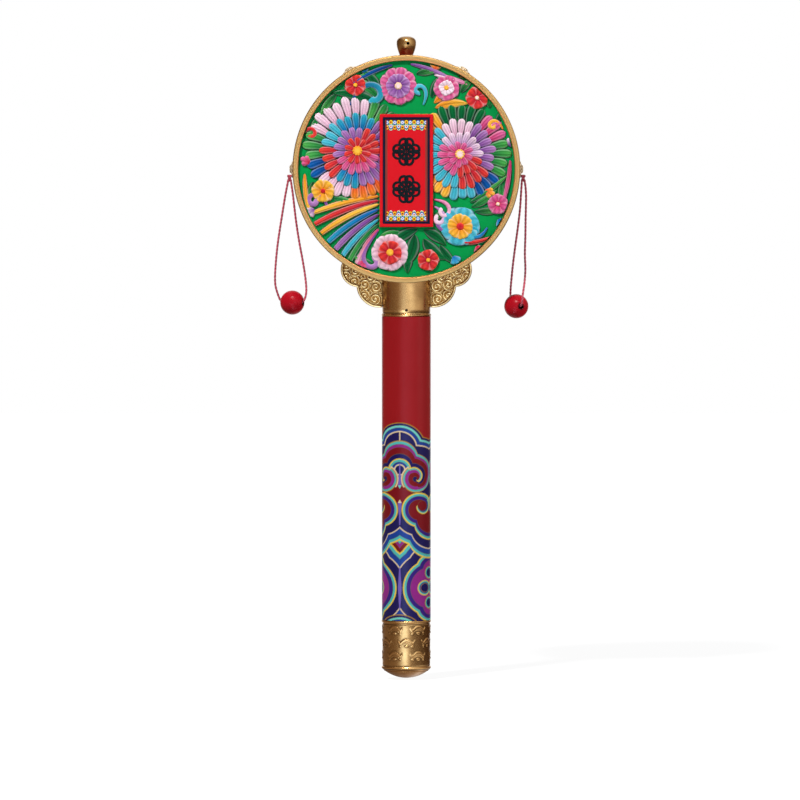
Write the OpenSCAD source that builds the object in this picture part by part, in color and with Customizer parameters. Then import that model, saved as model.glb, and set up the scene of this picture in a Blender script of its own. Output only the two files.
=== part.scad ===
// Pellet drum rattle: a flat double-headed drum on a lacquered handle, with two beads that swing on cord loops.
// The origin is on the handle's axis, half way along the grip. +Z is up, +X is to the right, the front faces -Y.

/* [Handle] */
// Diameter of the lacquered wooden handle
handle_d = 21.6; // [18:0.1:28]
// Length of the handle that shows between its two brass sleeves
grip_l = 134.2; // [90:0.1:180]
// Length of the turned-down spigot inside the neck ferrule
neck_spigot_l = 11; // [6:0.5:13]
// Length of the turned-down spigot inside the end cap
cap_spigot_l = 19; // [10:0.5:20]
// Diameter of the stick that runs from the handle up through the drum
rod_d = 8; // [5:0.1:12]
// Depth of the stick's socket in the handle
rod_socket_l = 30; // [15:1:45]
// Chamfer on the ends of the handle and the stick
end_chamfer = 0.8; // [0.2:0.1:1.5]

/* [Brass sleeves] */
// Outer diameter of the neck ferrule and of the end cap
sleeve_d = 21.2; // [17.5:0.1:27.5]
// Wall of the brass tube
sleeve_wall = 0.8; // [0.5:0.1:1.5]
// Height of the neck ferrule below the drum
neck_l = 15.1; // [13.5:0.1:25]
// Length of the end cap's tube
cap_l = 21.8; // [21:0.1:35]
// Height of the rolled edges
roll_h = 1.3; // [0.8:0.1:2]
// How far the rolled edges stand out from the tube
roll_out = 0.35; // [0.2:0.05:0.8]
// Height of the domed end
dome_h = 4.1; // [2:0.1:7]
// Wall of the domed end
dome_wall = 0.9; // [0.5:0.1:1.5]
// Shank diameter of the brad that pins the ferrule
brad_d = 0.8; // [0.6:0.1:1.5]
// Head diameter of the brad
brad_head_d = 1.3; // [1.2:0.1:2.5]
// Length of the brad
brad_l = 4.5; // [3:0.5:7]
// Height of the brad above the handle's shoulder
brad_up = 2.9; // [2.2:0.1:6]

/* [Embossed clouds] */
// Clouds in each row round the end cap
cloud_count = 6; // [4:1:8]
// Width of one cloud round the tube
cloud_w = 7; // [4:0.1:8]
// Height of one cloud
cloud_h = 3.4; // [2:0.1:4.5]
// How far the clouds stand out
cloud_out = 0.3; // [0.1:0.05:0.6]
// Distance between the rows
cloud_pitch = 5.6; // [4.6:0.1:7]

/* [Drum] */
// Diameter of the drum over its rims
drum_d = 100; // [80:1:130]
// Depth of the drum from rim face to rim face
drum_depth = 36; // [26:1:50]
// Wall of the wooden shell
shell_wall = 4.5; // [3:0.1:7]
// Thickness of the two heads
skin_t = 0.8; // [0.4:0.1:1.5]
// Width of the gold rim's face
rim_w = 2.5; // [2:0.1:5]
// Thickness of the rim's face
rim_face_t = 1.6; // [1:0.1:2.5]
// Length of the rim's skirt over the shell
rim_skirt_l = 4.5; // [2:0.1:8]
// Thickness of the rim's skirt
rim_skirt_t = 1.2; // [0.8:0.1:1.8]
// Width of the groove in the rim's face
groove_w = 0.5; // [0.2:0.1:0.8]
// Depth of the groove
groove_t = 0.3; // [0.1:0.1:0.8]
// Rounding of the rim's edges
rim_round = 0.4; // [0.1:0.1:0.6]

/* [Front plaque] */
// Width of the red plaque
plaque_w = 23.4; // [16:0.1:26]
// Height of the red plaque
plaque_h = 49.5; // [30:0.5:56]
// Thickness of the plaque at its border
plaque_t = 1.7; // [1:0.1:2.5]
// Depth of the plaque's sunken field
plaque_sink = 0.4; // [0.2:0.1:0.8]
// Width of the plaque's border
plaque_border = 1.3; // [0.8:0.1:2]
// Width of the raised line inside the border
plaque_line = 0.5; // [0.3:0.1:1]
// How far the plaque hangs below the drum's centre
plaque_drop = 0.7; // [0:0.1:3]

/* [Face relief] */
// Height of the raised flowers and leaves above the head
relief_t = 1.2; // [0.6:0.1:1.6]
// Radius of the two largest blossoms
blossom_r = 12; // [8:0.5:13]

/* [Finial] */
// Largest diameter of the finial
finial_d = 8.6; // [6.5:0.1:10]
// Diameter of the finial's foot
finial_foot_d = 5.6; // [4.8:0.1:6.4]
// Height of the finial above the rim
finial_h = 8.5; // [7.5:0.1:14]
// Diameter of the cross hole for a hanging thread
hang_hole_d = 1.3; // [0.8:0.1:2]
// Depth of the cross hole's axis below the finial's top
hang_hole_down = 3.1; // [2.5:0.1:3.6]
// Turn of the cross hole from straight front to back, in degrees
hang_hole_turn = 10; // [0:1:20]
// Diameter of the stick's tenon that holds the finial
tenon_d = 3; // [2:0.1:3.6]

/* [Side bosses] */
// Diameter of the cast bosses
boss_d = 7.8; // [6.5:0.1:10]
// How far a boss stands out past the rim
boss_out = 1.9; // [1.4:0.1:3]
// Diameter of the boss's shank in the shell
shank_d = 3; // [2:0.1:3.6]
// Diameter of the pierced holes in the casting
pierce_d = 1.1; // [0.6:0.1:1.4]
// Number of pierced holes
pierce_count = 8; // [5:1:9]

/* [Cloud brackets] */
// Thickness of the brackets' plate
wing_t = 2.2; // [1.5:0.1:4]
// Height of the brackets' border and scrolls above the plate
wing_relief = 0.5; // [0.2:0.1:1]
// Width of the brackets' raised border
wing_border = 1.1; // [0.6:0.1:1.8]
// Width of the raised scroll lines
scroll_w = 0.6; // [0.4:0.1:0.9]
// Radius of the large lobe beside the ferrule
lobe_r = 10; // [7:0.1:11.5]
// Radius of the small outer lobe
tip_lobe_r = 7.7; // [5:0.1:8.5]

/* [Pellets] */
// Diameter of the wooden beads
bead_d = 10.7; // [9:0.1:12]
// Diameter of the hole through a bead
bead_bore_d = 2.2; // [2:0.1:3]
// Width of the countersink round the bead's hole
bead_mouth = 0.4; // [0.2:0.1:0.6]
// Diameter of the cord
cord_d = 1; // [0.6:0.1:1.2]
// Diameter of the cord's knots
knot_d = 2.4; // [2.2:0.1:2.6]
// Clearance round the cord where it passes the shell
cord_gap = 0.2; // [0.1:0.05:0.4]

/* [Fits] */
// Clearance on the radius of pieces that are pushed together
fit_gap = 0.05; // [0.02:0.01:0.1]

/* [Hidden] */
$fn = 96;
// Cuts run past their solids by this much
overrun = 1;

// Heights along the axis
grip_top = grip_l / 2;
grip_bottom = -grip_l / 2;
drum_z = grip_top + neck_l + drum_d / 2;
cap_bottom = grip_bottom - cap_l;

// Radii of the turned and rolled pieces
sleeve_r = sleeve_d / 2;
bore_r = sleeve_r - sleeve_wall;
spigot_r = bore_r - fit_gap;
rod_r = rod_d / 2;
rim_r = drum_d / 2;
shell_r = rim_r - rim_skirt_t - fit_gap;
shell_inner_r = shell_r - shell_wall;
rim_inner_r = rim_r - rim_w;
groove_share = 0.58;
groove_r = rim_r - rim_w * groove_share;

// Places from front to back, measured forward from the drum's middle
face_front = drum_depth / 2;
skin_front = face_front - rim_face_t;
shell_front = skin_front - skin_t;

// The knots that the pellets swing on, beside the lower edge of each side boss
pivot_out_share = 0.667;
pivot_out = rim_r + knot_d * pivot_out_share;
pivot_down_share = 0.436;
pivot_down = boss_d * pivot_down_share;
pivot_z = drum_z - pivot_down;
knot_r = knot_d / 2;
cord_r = cord_d / 2;
cord_hole_r = cord_r + cord_gap;

// Bosses round the shell: right, upper right, upper left and left
boss_angles = [0, 60, 120, 180];

// Route of the left cord loop from the knot, round through the bead and back, measured from the pivot
left_route = [[-0.55, 0, -1.35], [-0.9, 0, -3.2], [-2, 0, -9], [-3.3, 0, -17], [-4.5, 0, -24.5],
              [-5.4, 0, -31], [-6, 0, -37], [-6.4, 0, -42.5], [-6.5, 0.2, -47.5], [-6.2, 1, -51],
              [-5.7, 1.8, -53.4], [-4.9, 2.2, -54.8], [-3.8, 1.8, -55.1], [1.2, 0, -55.1],
              [6.2, -1.8, -55.1], [7.3, -2.2, -54.8], [7.9, -1.9, -53.4], [7.8, -1, -51],
              [7.3, -0.2, -47.5], [6.8, 0, -42.5], [5.7, 0, -36.5], [4.4, 0, -29.5],
              [3.2, 0, -22], [2.3, 0, -15], [1.5, 0, -8], [0.9, 0, -3.8], [0.55, 0, -1.35]];
// Middle of the left bead, and the turn of its hole from the X axis
left_bead_at = [1.2, 0, -55.6];
left_bead_turn = -20;

// Route of the right cord loop
right_route = [[-0.55, 0, -1.35], [-0.8, 0, -5.5], [-1.4, 0, -14.5], [-2.4, 0, -23], [-3.5, 0, -31],
               [-4.5, 0.4, -38.5], [-5.2, 1.4, -45.5], [-5.5, 3.4, -51], [-5.6, 5.4, -54.6],
               [-5.6, 6.2, -56.2], [-5.1, 5, -56.7], [-3, 0, -56.7], [-0.9, -5, -56.7],
               [-0.4, -6.2, -56.2], [-0.1, -6, -54.4], [0.5, -4.2, -51], [0.8, -2, -47],
               [1, -0.6, -41.5], [0.8, 0, -34], [1, 0, -26.5], [1.1, 0, -19], [1.3, 0, -9],
               [1, 0, -4], [0.55, 0, -1.35]];
right_bead_at = [-3, 0, -57.2];
right_bead_turn = -67;

// Rings along each span of a cord's route
rings_per_span = 1;
cord_sides = 8;

// Room on the face beside the plaque, and above and below it
side_room = rim_inner_r - plaque_w / 2;
end_room = rim_inner_r - plaque_h / 2 - plaque_drop;
// Units of the raised pieces: the room they stand in, or the face's own share where that is smaller
side_unit_share = 0.754;
end_unit_share = 0.464;
side_unit = min(side_room, rim_inner_r * side_unit_share);
end_unit = min(end_room, rim_inner_r * end_unit_share);
// The raised tables start with a place: 1 beside the plaque or 0 above and below it, across, and up.
// Beside it, across is a share of the room from the plaque's edge, and up one of the face's radius;
// above and below it, the other way round. Sizes are shares of the room's unit.
// Large blossoms, with their radius as a share of blossom_r, then petals and turn
large_blossom_shares = [[1, -0.5, 0.181, 1, 11, 0], [1, 0.5, 0.097, 1, 11, 17]];
// Other blossoms: radius, petals and turn
blossom_shares = [[0, -0.076, 0.56, 0.381, 9, 34], [1, 0.332, -0.531, 0.24, 8, 51],
                  [0, -0.152, -0.506, 0.372, 7, 68], [1, -0.444, -0.408, 0.207, 8, 85],
                  [0, 0.32, 0.415, 0.272, 6, 102], [1, -0.277, 0.665, 0.168, 5, 119],
                  [0, 0.202, -0.66, 0.209, 5, 136], [1, 0.791, -0.274, 0.134, 5, 153],
                  [1, 0.584, 0.539, 0.151, 7, 170]];
// Leaves: turn, length, half width, and bend from root to tip
leaf_shares = [[1, -0.07, 0.358, 108, 0.344, 0.064, -26], [1, -0.741, 0.447, 70, 0.321, 0.064, -34],
               [1, -0.834, 0.041, 238, 0.307, 0.064, 24], [1, -0.74, -0.067, 250, 0.265, 0.056, -18],
               [1, -0.511, -0.156, 330, 0.335, 0.073, 24], [1, -0.188, -0.212, 326, 0.237, 0.059, -24],
               [1, -0.662, -0.476, 240, 0.161, 0.04, 24], [1, -0.55, -0.577, 286, 0.279, 0.064, 28],
               [1, -0.304, -0.568, 300, 0.268, 0.061, -22], [0, -0.312, -0.687, 184, 0.244, 0.058, -28],
               [0, 0.013, -0.279, 40, 0.363, 0.091, -30], [0, 0.029, -0.533, 22, 0.281, 0.077, 22],
               [0, 0.067, -0.814, 190, 0.299, 0.073, -14], [0, 0.299, -0.578, 340, 0.426, 0.1, 24],
               [0, 0.318, -0.376, 262, 0.203, 0.052, -24], [1, 0.539, -0.669, 30, 0.161, 0.04, 40],
               [1, 0.578, -0.463, 20, 0.223, 0.056, 20], [1, 0.455, -0.261, 318, 0.258, 0.059, 22],
               [1, 0.154, -0.291, 240, 0.211, 0.052, 26], [1, 0.349, 0.392, 80, 0.321, 0.07, 24],
               [1, 0.221, 0.358, 88, 0.223, 0.049, -20], [1, 0.12, 0.307, 102, 0.231, 0.052, 24],
               [1, 0.427, 0.653, 122, 0.235, 0.056, -30], [0, 0.118, 0.741, 20, 0.336, 0.082, -30],
               [0, -0.244, 0.769, 176, 0.283, 0.065, 22], [1, -0.444, 0.707, 196, 0.161, 0.04, 26],
               [0, 0.147, 0.279, 230, 0.272, 0.073, 26]];
// Cloud ribbons: turn, length, half width and bend
ribbon_shares = [[1, 0.073, -0.272, 15, 0.384, 0.031, -36], [0, 0.063, -0.865, 340, 0.324, 0.041, 30],
                 [0, 0.179, 0.914, 178, 0.343, 0.039, 12], [1, -0.064, -0.505, 223, 0.215, 0.028, 40],
                 [1, -0.064, 0.042, 262, 0.335, 0.028, -30],
                 [1, 0.902, -0.084, 284, 0.196, 0.028, -12]];
// Curled tendrils: turn, radius, and the hand they curl to
tendril_shares = [[1, -0.065, -0.18, 203, 0.052, -1], [1, -0.116, -0.391, 235, 0.089, 1],
                  [1, 0.07, -0.173, 260, 0.085, 1], [1, -0.832, 0.325, 98, 0.028, -1],
                  [1, 0.768, 0.386, 80, 0.063, 1], [1, -0.735, -0.253, 228, 0.058, 1],
                  [0, -0.021, -0.188, 110, 0.086, 1], [1, 0.79, -0.456, 22, 0.044, 1],
                  [1, -0.209, -0.361, 160, 0.039, 1], [1, -0.446, 0.505, 80, 0.063, 1]];
// Steps of a blossom from its outer petals to its heart: share of its radius and of the relief's height
petal_step_shares = [[1, 0.5], [0.66, 0.75], [0.34, 1]];
leaf_height_share = 0.7;
leaf_blunt_share = 1;
ribbon_blunt_share = 0.6;

// A point at an angle and a distance
function polar(r, a) = [r * cos(a), r * sin(a)];

// A closed outline with rounded lobes, such as a blossom or a cloud seen from above
function lobed(r, lobes, dent_share, points) =
    [for (i = [0 : points - 1])
        let (a = 360 * i / points)
        polar(r * (1 - dent_share * (1 - abs(cos(lobes * a / 2)))), a)];

// A band that follows an arc whose radius runs from r0 to r1
function spiral_band(r0, r1, a0, a1, w, steps) =
    let (at = function(i, off) polar(r0 + (r1 - r0) * i / steps + off, a0 + (a1 - a0) * i / steps))
    concat([for (i = [0 : steps]) at(i, w / 2)], [for (i = [steps : -1 : 0]) at(i, -w / 2)]);

// A leaf or ribbon from the origin along the x axis, its middle line bending by an angle to its tip
function bent_outline(l, half_w, bend, blunt, steps) =
    let (r = l / bend * 180 / PI,
        at = function(t, side) let (h = r - side * half_w * sin(180 * t) ^ blunt)
            [h * sin(bend * t), r - h * cos(bend * t)])
    concat([for (i = [0 : steps - 1]) at(i / steps, -1)], [for (i = [steps : -1 : 1]) at(i / steps, 1)]);

// The place of a row of a raised table, and the unit of its sizes
function face_at(p) = p[0] == 1
    ? [sign(p[1]) * plaque_w / 2 + p[1] * side_room, p[2] * rim_inner_r]
    : [p[1] * rim_inner_r, sign(p[2]) * plaque_h / 2 - plaque_drop + p[2] * end_room];
function face_unit(p) = p[0] == 1 ? side_unit : end_unit;

// A smooth curve through a route's points, and a ring of points round each of its places
function catmull(p, i, t) =
    let (a = p[max(i - 1, 0)], b = p[i], c = p[i + 1], d = p[min(i + 2, len(p) - 1)])
    (2 * b + (c - a) * t + (2 * a - 5 * b + 4 * c - d) * t * t + (3 * b - a - 3 * c + d) * t * t * t) / 2;
function smooth(p, steps) = concat(
    [for (i = [0 : len(p) - 2], j = [0 : steps - 1]) catmull(p, i, j / steps)], [p[len(p) - 1]]);
function unit(v) = v / norm(v);
function heading(p, i) = unit(p[min(i + 1, len(p) - 1)] - p[max(i - 1, 0)]);
// The side vector is carried along the route, so that the tube doesn't twist
function sides_along(p, i = 0, last = [0, 1, 0]) =
    i == len(p) ? [] :
    let (d = heading(p, i), s = unit(last - (last * d) * d)) concat([s], sides_along(p, i + 1, s));
function tube_points(p, r, sides) =
    let (across = sides_along(p))
    [for (i = [0 : len(p) - 1]) let (up = cross(heading(p, i), across[i]))
        for (k = [0 : sides - 1])
            p[i] + r * (cos(360 * k / sides) * across[i] + sin(360 * k / sides) * up)];

// Turns what is drawn in x and y so that it stands on the drum's face, with its height to the front
module face_on() {
    translate([0, 0, drum_z])
        rotate([90, 0, 0])
            children();
}

// Turns what is drawn along z so that it points outward from the drum's centre at an angle
module outward(angle) {
    translate([0, 0, drum_z])
        rotate([0, 90 - angle, 0])
            children();
}

// The space of the drum's shell, which the pieces round it are cut to
module shell_space(gap = 0) {
    face_on()
        cylinder(r = shell_r + gap, h = drum_depth, center = true);
}

// A rolled edge round a sleeve, as its half profile
module roll_profile() {
    translate([sleeve_r + roll_out - roll_h / 2, 0])
        circle(d = roll_h, $fn = 32);
}

module handle_shaft() {
    color("#a51a20")
    difference() {
        rotate_extrude()
            polygon([
                [0, grip_bottom - cap_spigot_l],
                [spigot_r - end_chamfer, grip_bottom - cap_spigot_l],
                [spigot_r, grip_bottom - cap_spigot_l + end_chamfer],
                [spigot_r, grip_bottom],
                [handle_d / 2, grip_bottom],
                [handle_d / 2, grip_top],
                [spigot_r, grip_top],
                [spigot_r, grip_top + neck_spigot_l - end_chamfer],
                [spigot_r - end_chamfer, grip_top + neck_spigot_l],
                [0, grip_top + neck_spigot_l]
            ]);
        translate([0, 0, grip_top + neck_spigot_l - rod_socket_l])
            cylinder(r = rod_r + fit_gap, h = rod_socket_l + overrun);
        brad_space(fit_gap);
    }
}

// A cloud of three lobes over a flat foot, standing on the end cap's wall
module cloud() {
    scale([cloud_w / 2, cloud_h / 2])
        polygon([for (p = lobed(1, 5, 0.3, 20)) if (p[1] > -0.45) p]);
}

module end_cap_sleeve() {
    middle = grip_bottom - cap_l / 2;
    color("#a8763a")
    difference() {
        union() {
            translate([0, 0, cap_bottom])
                cylinder(r = sleeve_r, h = cap_l);
            for (z = [grip_bottom - roll_h / 2, cap_bottom + roll_h / 2])
                translate([0, 0, z])
                    rotate_extrude()
                        roll_profile();
            intersection() {
                translate([0, 0, cap_bottom])
                    cylinder(r = sleeve_r + cloud_out, h = cap_l);
                union() {
                    for (row = [-1 : 1], i = [0 : cloud_count - 1])
                        translate([0, 0, middle + row * cloud_pitch])
                            rotate([90, 0, (i + (row == 0 ? 0 : 1 / 2)) * 360 / cloud_count])
                                translate([0, 0, bore_r - sleeve_wall])
                                    linear_extrude(2 * sleeve_wall + cloud_out + overrun)
                                        cloud();
                }
            }
        }
        translate([0, 0, cap_bottom - overrun])
            cylinder(r = bore_r, h = cap_l + 2 * overrun);
    }
}

module end_cap_dome() {
    // The ball that the dome is a slice of passes through its rim and its lowest point
    rim = sleeve_r - fit_gap;
    ball_r = (rim * rim + dome_h * dome_h) / (2 * dome_h);
    plug_r = bore_r - fit_gap;
    plug_l = cap_l - cap_spigot_l - fit_gap;
    color("#b58145")
    difference() {
        union() {
            intersection() {
                translate([0, 0, cap_bottom - dome_h + ball_r])
                    sphere(r = ball_r);
                translate([0, 0, cap_bottom - dome_h])
                    cylinder(r = rim, h = dome_h);
            }
            translate([0, 0, cap_bottom - dome_wall])
                cylinder(r = plug_r, h = plug_l + dome_wall);
        }
        intersection() {
            translate([0, 0, cap_bottom - dome_h + ball_r])
                sphere(r = ball_r - dome_wall);
            translate([0, 0, cap_bottom - dome_h])
                cylinder(r = plug_r - dome_wall, h = dome_h + plug_l + overrun);
        }
    }
}

// The brad's shank and head, grown by a gap where it makes its hole
module brad_space(gap) {
    translate([0, -sleeve_r, grip_top + brad_up])
        rotate([-90, 0, 0])
            cylinder(d = brad_d + 2 * gap, h = brad_l + gap, $fn = 32);
}

module ferrule_brad() {
    color("#3c2a18")
    union() {
        brad_space(0);
        translate([0, -sleeve_r, grip_top + brad_up])
            rotate([90, 0, 0])
                cylinder(d1 = brad_head_d, d2 = brad_d, h = brad_d / 2, $fn = 32);
    }
}

module neck_ferrule() {
    color("#a8763a")
    difference() {
        union() {
            translate([0, 0, grip_top])
                cylinder(r = sleeve_r, h = neck_l + rim_r / 4);
            translate([0, 0, grip_top + roll_h / 2])
                rotate_extrude()
                    roll_profile();
        }
        translate([0, 0, grip_top - overrun])
            cylinder(r = bore_r, h = neck_l + rim_r);
        shell_space();
        brad_space(fit_gap);
    }
}

// Places of a bracket's lobes, as shares of the large lobe's radius and of the ferrule's height
lobe_in_share = 0.14;
lobe_up_share = 0.92;
tip_place_shares = [0.93, 0.68];

// The outline of a bracket: a large lobe beside the ferrule and a small one under the rim
module wing_outline(inset = 0) {
    lobe = [sleeve_r + lobe_r * lobe_in_share, grip_top + neck_l * lobe_up_share];
    tip = lobe + [lobe_r * tip_place_shares[0], lobe_r * tip_place_shares[1]];
    translate(lobe)
        circle(r = lobe_r - inset);
    translate(tip)
        circle(r = tip_lobe_r - inset);
    // The web between the lobes and the drum, hidden above them under the shell
    polygon([
        lobe + [-lobe_r, 0],
        lobe + polar(lobe_r - inset, 8),
        tip + polar(tip_lobe_r - inset, 20),
        tip + [0, tip_lobe_r],
        lobe + [-lobe_r, 2 * lobe_r]
    ]);
}
// Raised scroll lines of a bracket: curls and the waves that join them, as shares of the large lobe's radius
curl_shares = [[0.42, -0.42, 0.3, 200], [0.02, -0.1, 0.24, 20], [0.62, 0.02, 0.2, 320],
               [0.28, 0.3, 0.18, 120], [1.32, 0.52, 0.22, 60], [0.98, 0.34, 0.17, 240],
               [1.2, 0.92, 0.15, 150]];
wave_shares = [[0, -0.3, 0.36, 215, 290], [0.72, -0.34, 0.2, 120, 250], [0.8, 0.4, 0.22, 330, 60],
               [0.45, 0.62, 0.2, 20, 130]];

module wing_scrolls() {
    lobe = [sleeve_r + lobe_r * lobe_in_share, grip_top + neck_l * lobe_up_share];
    for (c = curl_shares)
        translate(lobe + lobe_r * [c[0], c[1]])
            polygon(spiral_band(lobe_r * c[2], scroll_w * 0.8, c[3], c[3] + 400, scroll_w, 20));
    for (w = wave_shares)
        translate(lobe + lobe_r * [w[0], w[1]])
            polygon(spiral_band(lobe_r * w[2], lobe_r * w[2], w[3], w[4], scroll_w, 8));
}

module cloud_bracket() {
    color("#b58145")
    difference() {
        union() {
            rotate([90, 0, 0])
                linear_extrude(wing_t, center = true)
                    wing_outline();
            rotate([90, 0, 0])
                linear_extrude(wing_t + 2 * wing_relief, center = true)
                    difference() {
                        wing_outline();
                        wing_outline(wing_border);
                    }
            rotate([90, 0, 0])
                linear_extrude(wing_t + 2 * wing_relief, center = true)
                    intersection() {
                        wing_scrolls();
                        wing_outline(wing_border / 2);
                    }
        }
        shell_space(fit_gap);
        cylinder(r = sleeve_r + fit_gap, h = drum_z);
    }
}

module cloud_bracket_right() {
    cloud_bracket();
}

module cloud_bracket_left() {
    mirror([1, 0, 0])
        cloud_bracket();
}

module drum_shell() {
    color("#8c1a1c")
    difference() {
        face_on()
            cylinder(r = shell_r, h = 2 * shell_front, center = true);
        face_on()
            cylinder(r = shell_inner_r, h = drum_depth, center = true);
        translate([0, 0, grip_top])
            cylinder(r = rod_r + fit_gap, h = rim_r);
        translate([0, 0, drum_z])
            cylinder(d = tenon_d + 2 * fit_gap, h = rim_r);
        for (a = boss_angles)
            outward(a)
                cylinder(d = shank_d + 2 * fit_gap, h = rim_r);
        for (side = [-1, 1])
            cord_passage(side);
    }
}

// The straight hole that a cord's tail takes from the boss into the drum
module cord_passage(side) {
    translate([0, 0, pivot_z])
        rotate([0, 90 * side, 0])
            cylinder(r = cord_hole_r, h = pivot_out, $fn = 32);
}

module skin() {
    face_on()
        translate([0, 0, shell_front])
            cylinder(r = shell_r, h = skin_t);
}

module front_skin() {
    color("#009b4b")
        skin();
}

module rear_skin() {
    color("#009b4b")
        mirror([0, 1, 0])
            skin();
}

module rim() {
    face_on()
        rotate_extrude()
            difference() {
                polygon([
                    [rim_inner_r, skin_front],
                    [rim_inner_r, face_front - rim_round],
                    [rim_inner_r + rim_round, face_front],
                    [rim_r - rim_round, face_front],
                    [rim_r, face_front - rim_round],
                    [rim_r, skin_front - rim_skirt_l],
                    [rim_r - rim_skirt_t, skin_front - rim_skirt_l],
                    [rim_r - rim_skirt_t, skin_front]
                ]);
                translate([groove_r - groove_w / 2, face_front - groove_t])
                    square([groove_w, groove_t + overrun]);
            }
}

module front_rim() {
    color("#c6965c")
        rim();
}

module rear_rim() {
    color("#c6965c")
        mirror([0, 1, 0])
            rim();
}

// A flat rectangle round the plaque's centre, drawn in from its edge
module plaque_area(inset) {
    square([plaque_w - 2 * inset, plaque_h - 2 * inset], center = true);
}

module front_plaque() {
    line_at = plaque_border + plaque_line;
    color("#e4161e")
    face_on()
        translate([0, -plaque_drop, skin_front])
            difference() {
                linear_extrude(plaque_t)
                    plaque_area(0);
                translate([0, 0, plaque_t - plaque_sink])
                    linear_extrude(plaque_sink + overrun)
                        difference() {
                            plaque_area(plaque_border);
                            difference() {
                                plaque_area(line_at);
                                plaque_area(line_at + plaque_line);
                            }
                        }
            }
}

module blossom(r, petals) {
    for (s = petal_step_shares)
        linear_extrude(relief_t * s[1])
            polygon(lobed(r * s[0], petals, 0.35, petals * 6));
}

module relief_blossoms() {
    color("#ec8cb8")
    face_on() {
        for (b = large_blossom_shares)
            translate(concat(face_at(b), skin_front))
                rotate(b[5])
                    blossom(blossom_r * b[3], b[4]);
        for (b = blossom_shares)
            translate(concat(face_at(b), skin_front))
                rotate(b[5])
                    blossom(face_unit(b) * b[3], b[4]);
    }
}

// A raised leaf or ribbon from a row of its table
module bent_piece(row, blunt, steps) {
    unit = face_unit(row);
    translate(concat(face_at(row), skin_front))
        rotate(row[3])
            linear_extrude(relief_t * leaf_height_share)
                polygon(bent_outline(unit * row[4], unit * row[5], row[6], blunt, steps));
}

module relief_leaves() {
    color("#3cc8a0")
    face_on()
        for (l = leaf_shares)
            bent_piece(l, leaf_blunt_share, 8);
}

module relief_tendrils() {
    color("#fa9d28")
    face_on() {
        for (r = ribbon_shares)
            bent_piece(r, ribbon_blunt_share, 8);
        for (t = tendril_shares)
            translate(concat(face_at(t), skin_front))
                rotate(t[3])
                    mirror([0, t[5] < 0 ? 1 : 0, 0]) {
                        r = face_unit(t) * t[4];
                        linear_extrude(relief_t * leaf_height_share)
                            polygon(spiral_band(r, r / 4, 0, 430, r / 3, 16));
                    }
    }
}

finial_widest_share = 0.344;
// Fullness of the crown: 2 is an ellipse, and more has squarer shoulders
crown_fullness = 2.5;
tenon_share = 0.4;
tenon_top = drum_z + rim_r + finial_h * tenon_share;

module finial() {
    top = drum_z + rim_r + finial_h;
    widest = top - finial_h * finial_widest_share;
    foot = drum_z + shell_r - overrun;
    crown = top - widest;
    finial_r = finial_d / 2;
    foot_r = finial_foot_d / 2;
    fall = widest - (drum_z + rim_r);
    color("#a8763a")
    difference() {
        rotate_extrude()
            polygon(concat(
                [[0, foot], [foot_r, foot]],
                [for (i = [0 : 8]) let (a = 90 * i / 8)
                    [foot_r + (finial_r - foot_r) * sin(a), widest - fall * (1 - i / 8)]],
                [for (i = [1 : 9]) let (u = sin(10 * i))
                    [finial_r * (1 - u ^ crown_fullness) ^ (1 / crown_fullness), widest + crown * u]]
            ));
        shell_space(0);
        translate([0, 0, drum_z])
            cylinder(d = tenon_d + 2 * fit_gap, h = tenon_top + fit_gap - drum_z);
        translate([0, 0, top - hang_hole_down])
            rotate([90, 0, hang_hole_turn])
                cylinder(d = hang_hole_d, h = finial_d + 2 * overrun, center = true, $fn = 32);
    }
}
module through_rod() {
    // The stick's shoulder stops under the curve of the shell
    shoulder = drum_z + sqrt(shell_inner_r * shell_inner_r - rod_r * rod_r) - fit_gap;
    foot = grip_top + neck_spigot_l - rod_socket_l + fit_gap;
    color("#c9a06a")
    rotate_extrude()
        polygon([
            [0, foot],
            [rod_r - end_chamfer, foot],
            [rod_r, foot + end_chamfer],
            [rod_r, shoulder - end_chamfer],
            [rod_r - end_chamfer, shoulder],
            [tenon_d / 2, shoulder],
            [tenon_d / 2, tenon_top],
            [0, tenon_top]
        ]);
}

scallop_share = 0.2;
pierce_lean = 48;

// A cast boss: a pierced dome with scallops round its foot, on a shank that goes through the shell
module boss(angle) {
    out = rim_r + boss_out;
    boss_r = boss_d / 2;
    rise = out - shell_r;
    ball_r = (boss_r * boss_r + rise * rise) / (2 * rise);
    scallop_r = boss_r * scallop_share;
    difference() {
        outward(angle)
            difference() {
                union() {
                    intersection() {
                        translate([0, 0, out - ball_r])
                            sphere(r = ball_r);
                        translate([0, 0, shell_inner_r])
                            cylinder(r = boss_r - scallop_r, h = rim_r);
                    }
                    for (i = [0 : pierce_count - 1])
                        rotate((i + 1 / 2) * 360 / pierce_count)
                            translate([boss_r - scallop_r, 0, shell_inner_r])
                                cylinder(r = scallop_r, h = shell_wall + scallop_r, $fn = 32);
                }
                for (i = [0 : pierce_count - 1])
                    rotate(i * 360 / pierce_count)
                        translate([0, 0, out - ball_r])
                            rotate([0, pierce_lean, 0])
                                translate([0, 0, ball_r - pierce_d])
                                    cylinder(d = pierce_d, h = pierce_d + overrun, $fn = 32);
                translate([0, 0, out - pierce_d / 2])
                    cylinder(d = pierce_d, h = pierce_d + overrun, $fn = 32);
            }
        shell_space();
    }
    outward(angle)
        translate([0, 0, shell_inner_r])
            cylinder(d = shank_d, h = shell_wall + rise / 4);
}

// The clearance for a side boss's cord: the passage, and the cup that the swivel knot turns in
module cord_seat(side) {
    cord_passage(side);
    translate([side * pivot_out, 0, pivot_z])
        sphere(r = knot_r + fit_gap, $fn = 48);
}

module boss_left() {
    color("#a8763a")
    difference() {
        boss(180);
        cord_seat(-1);
    }
}

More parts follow.
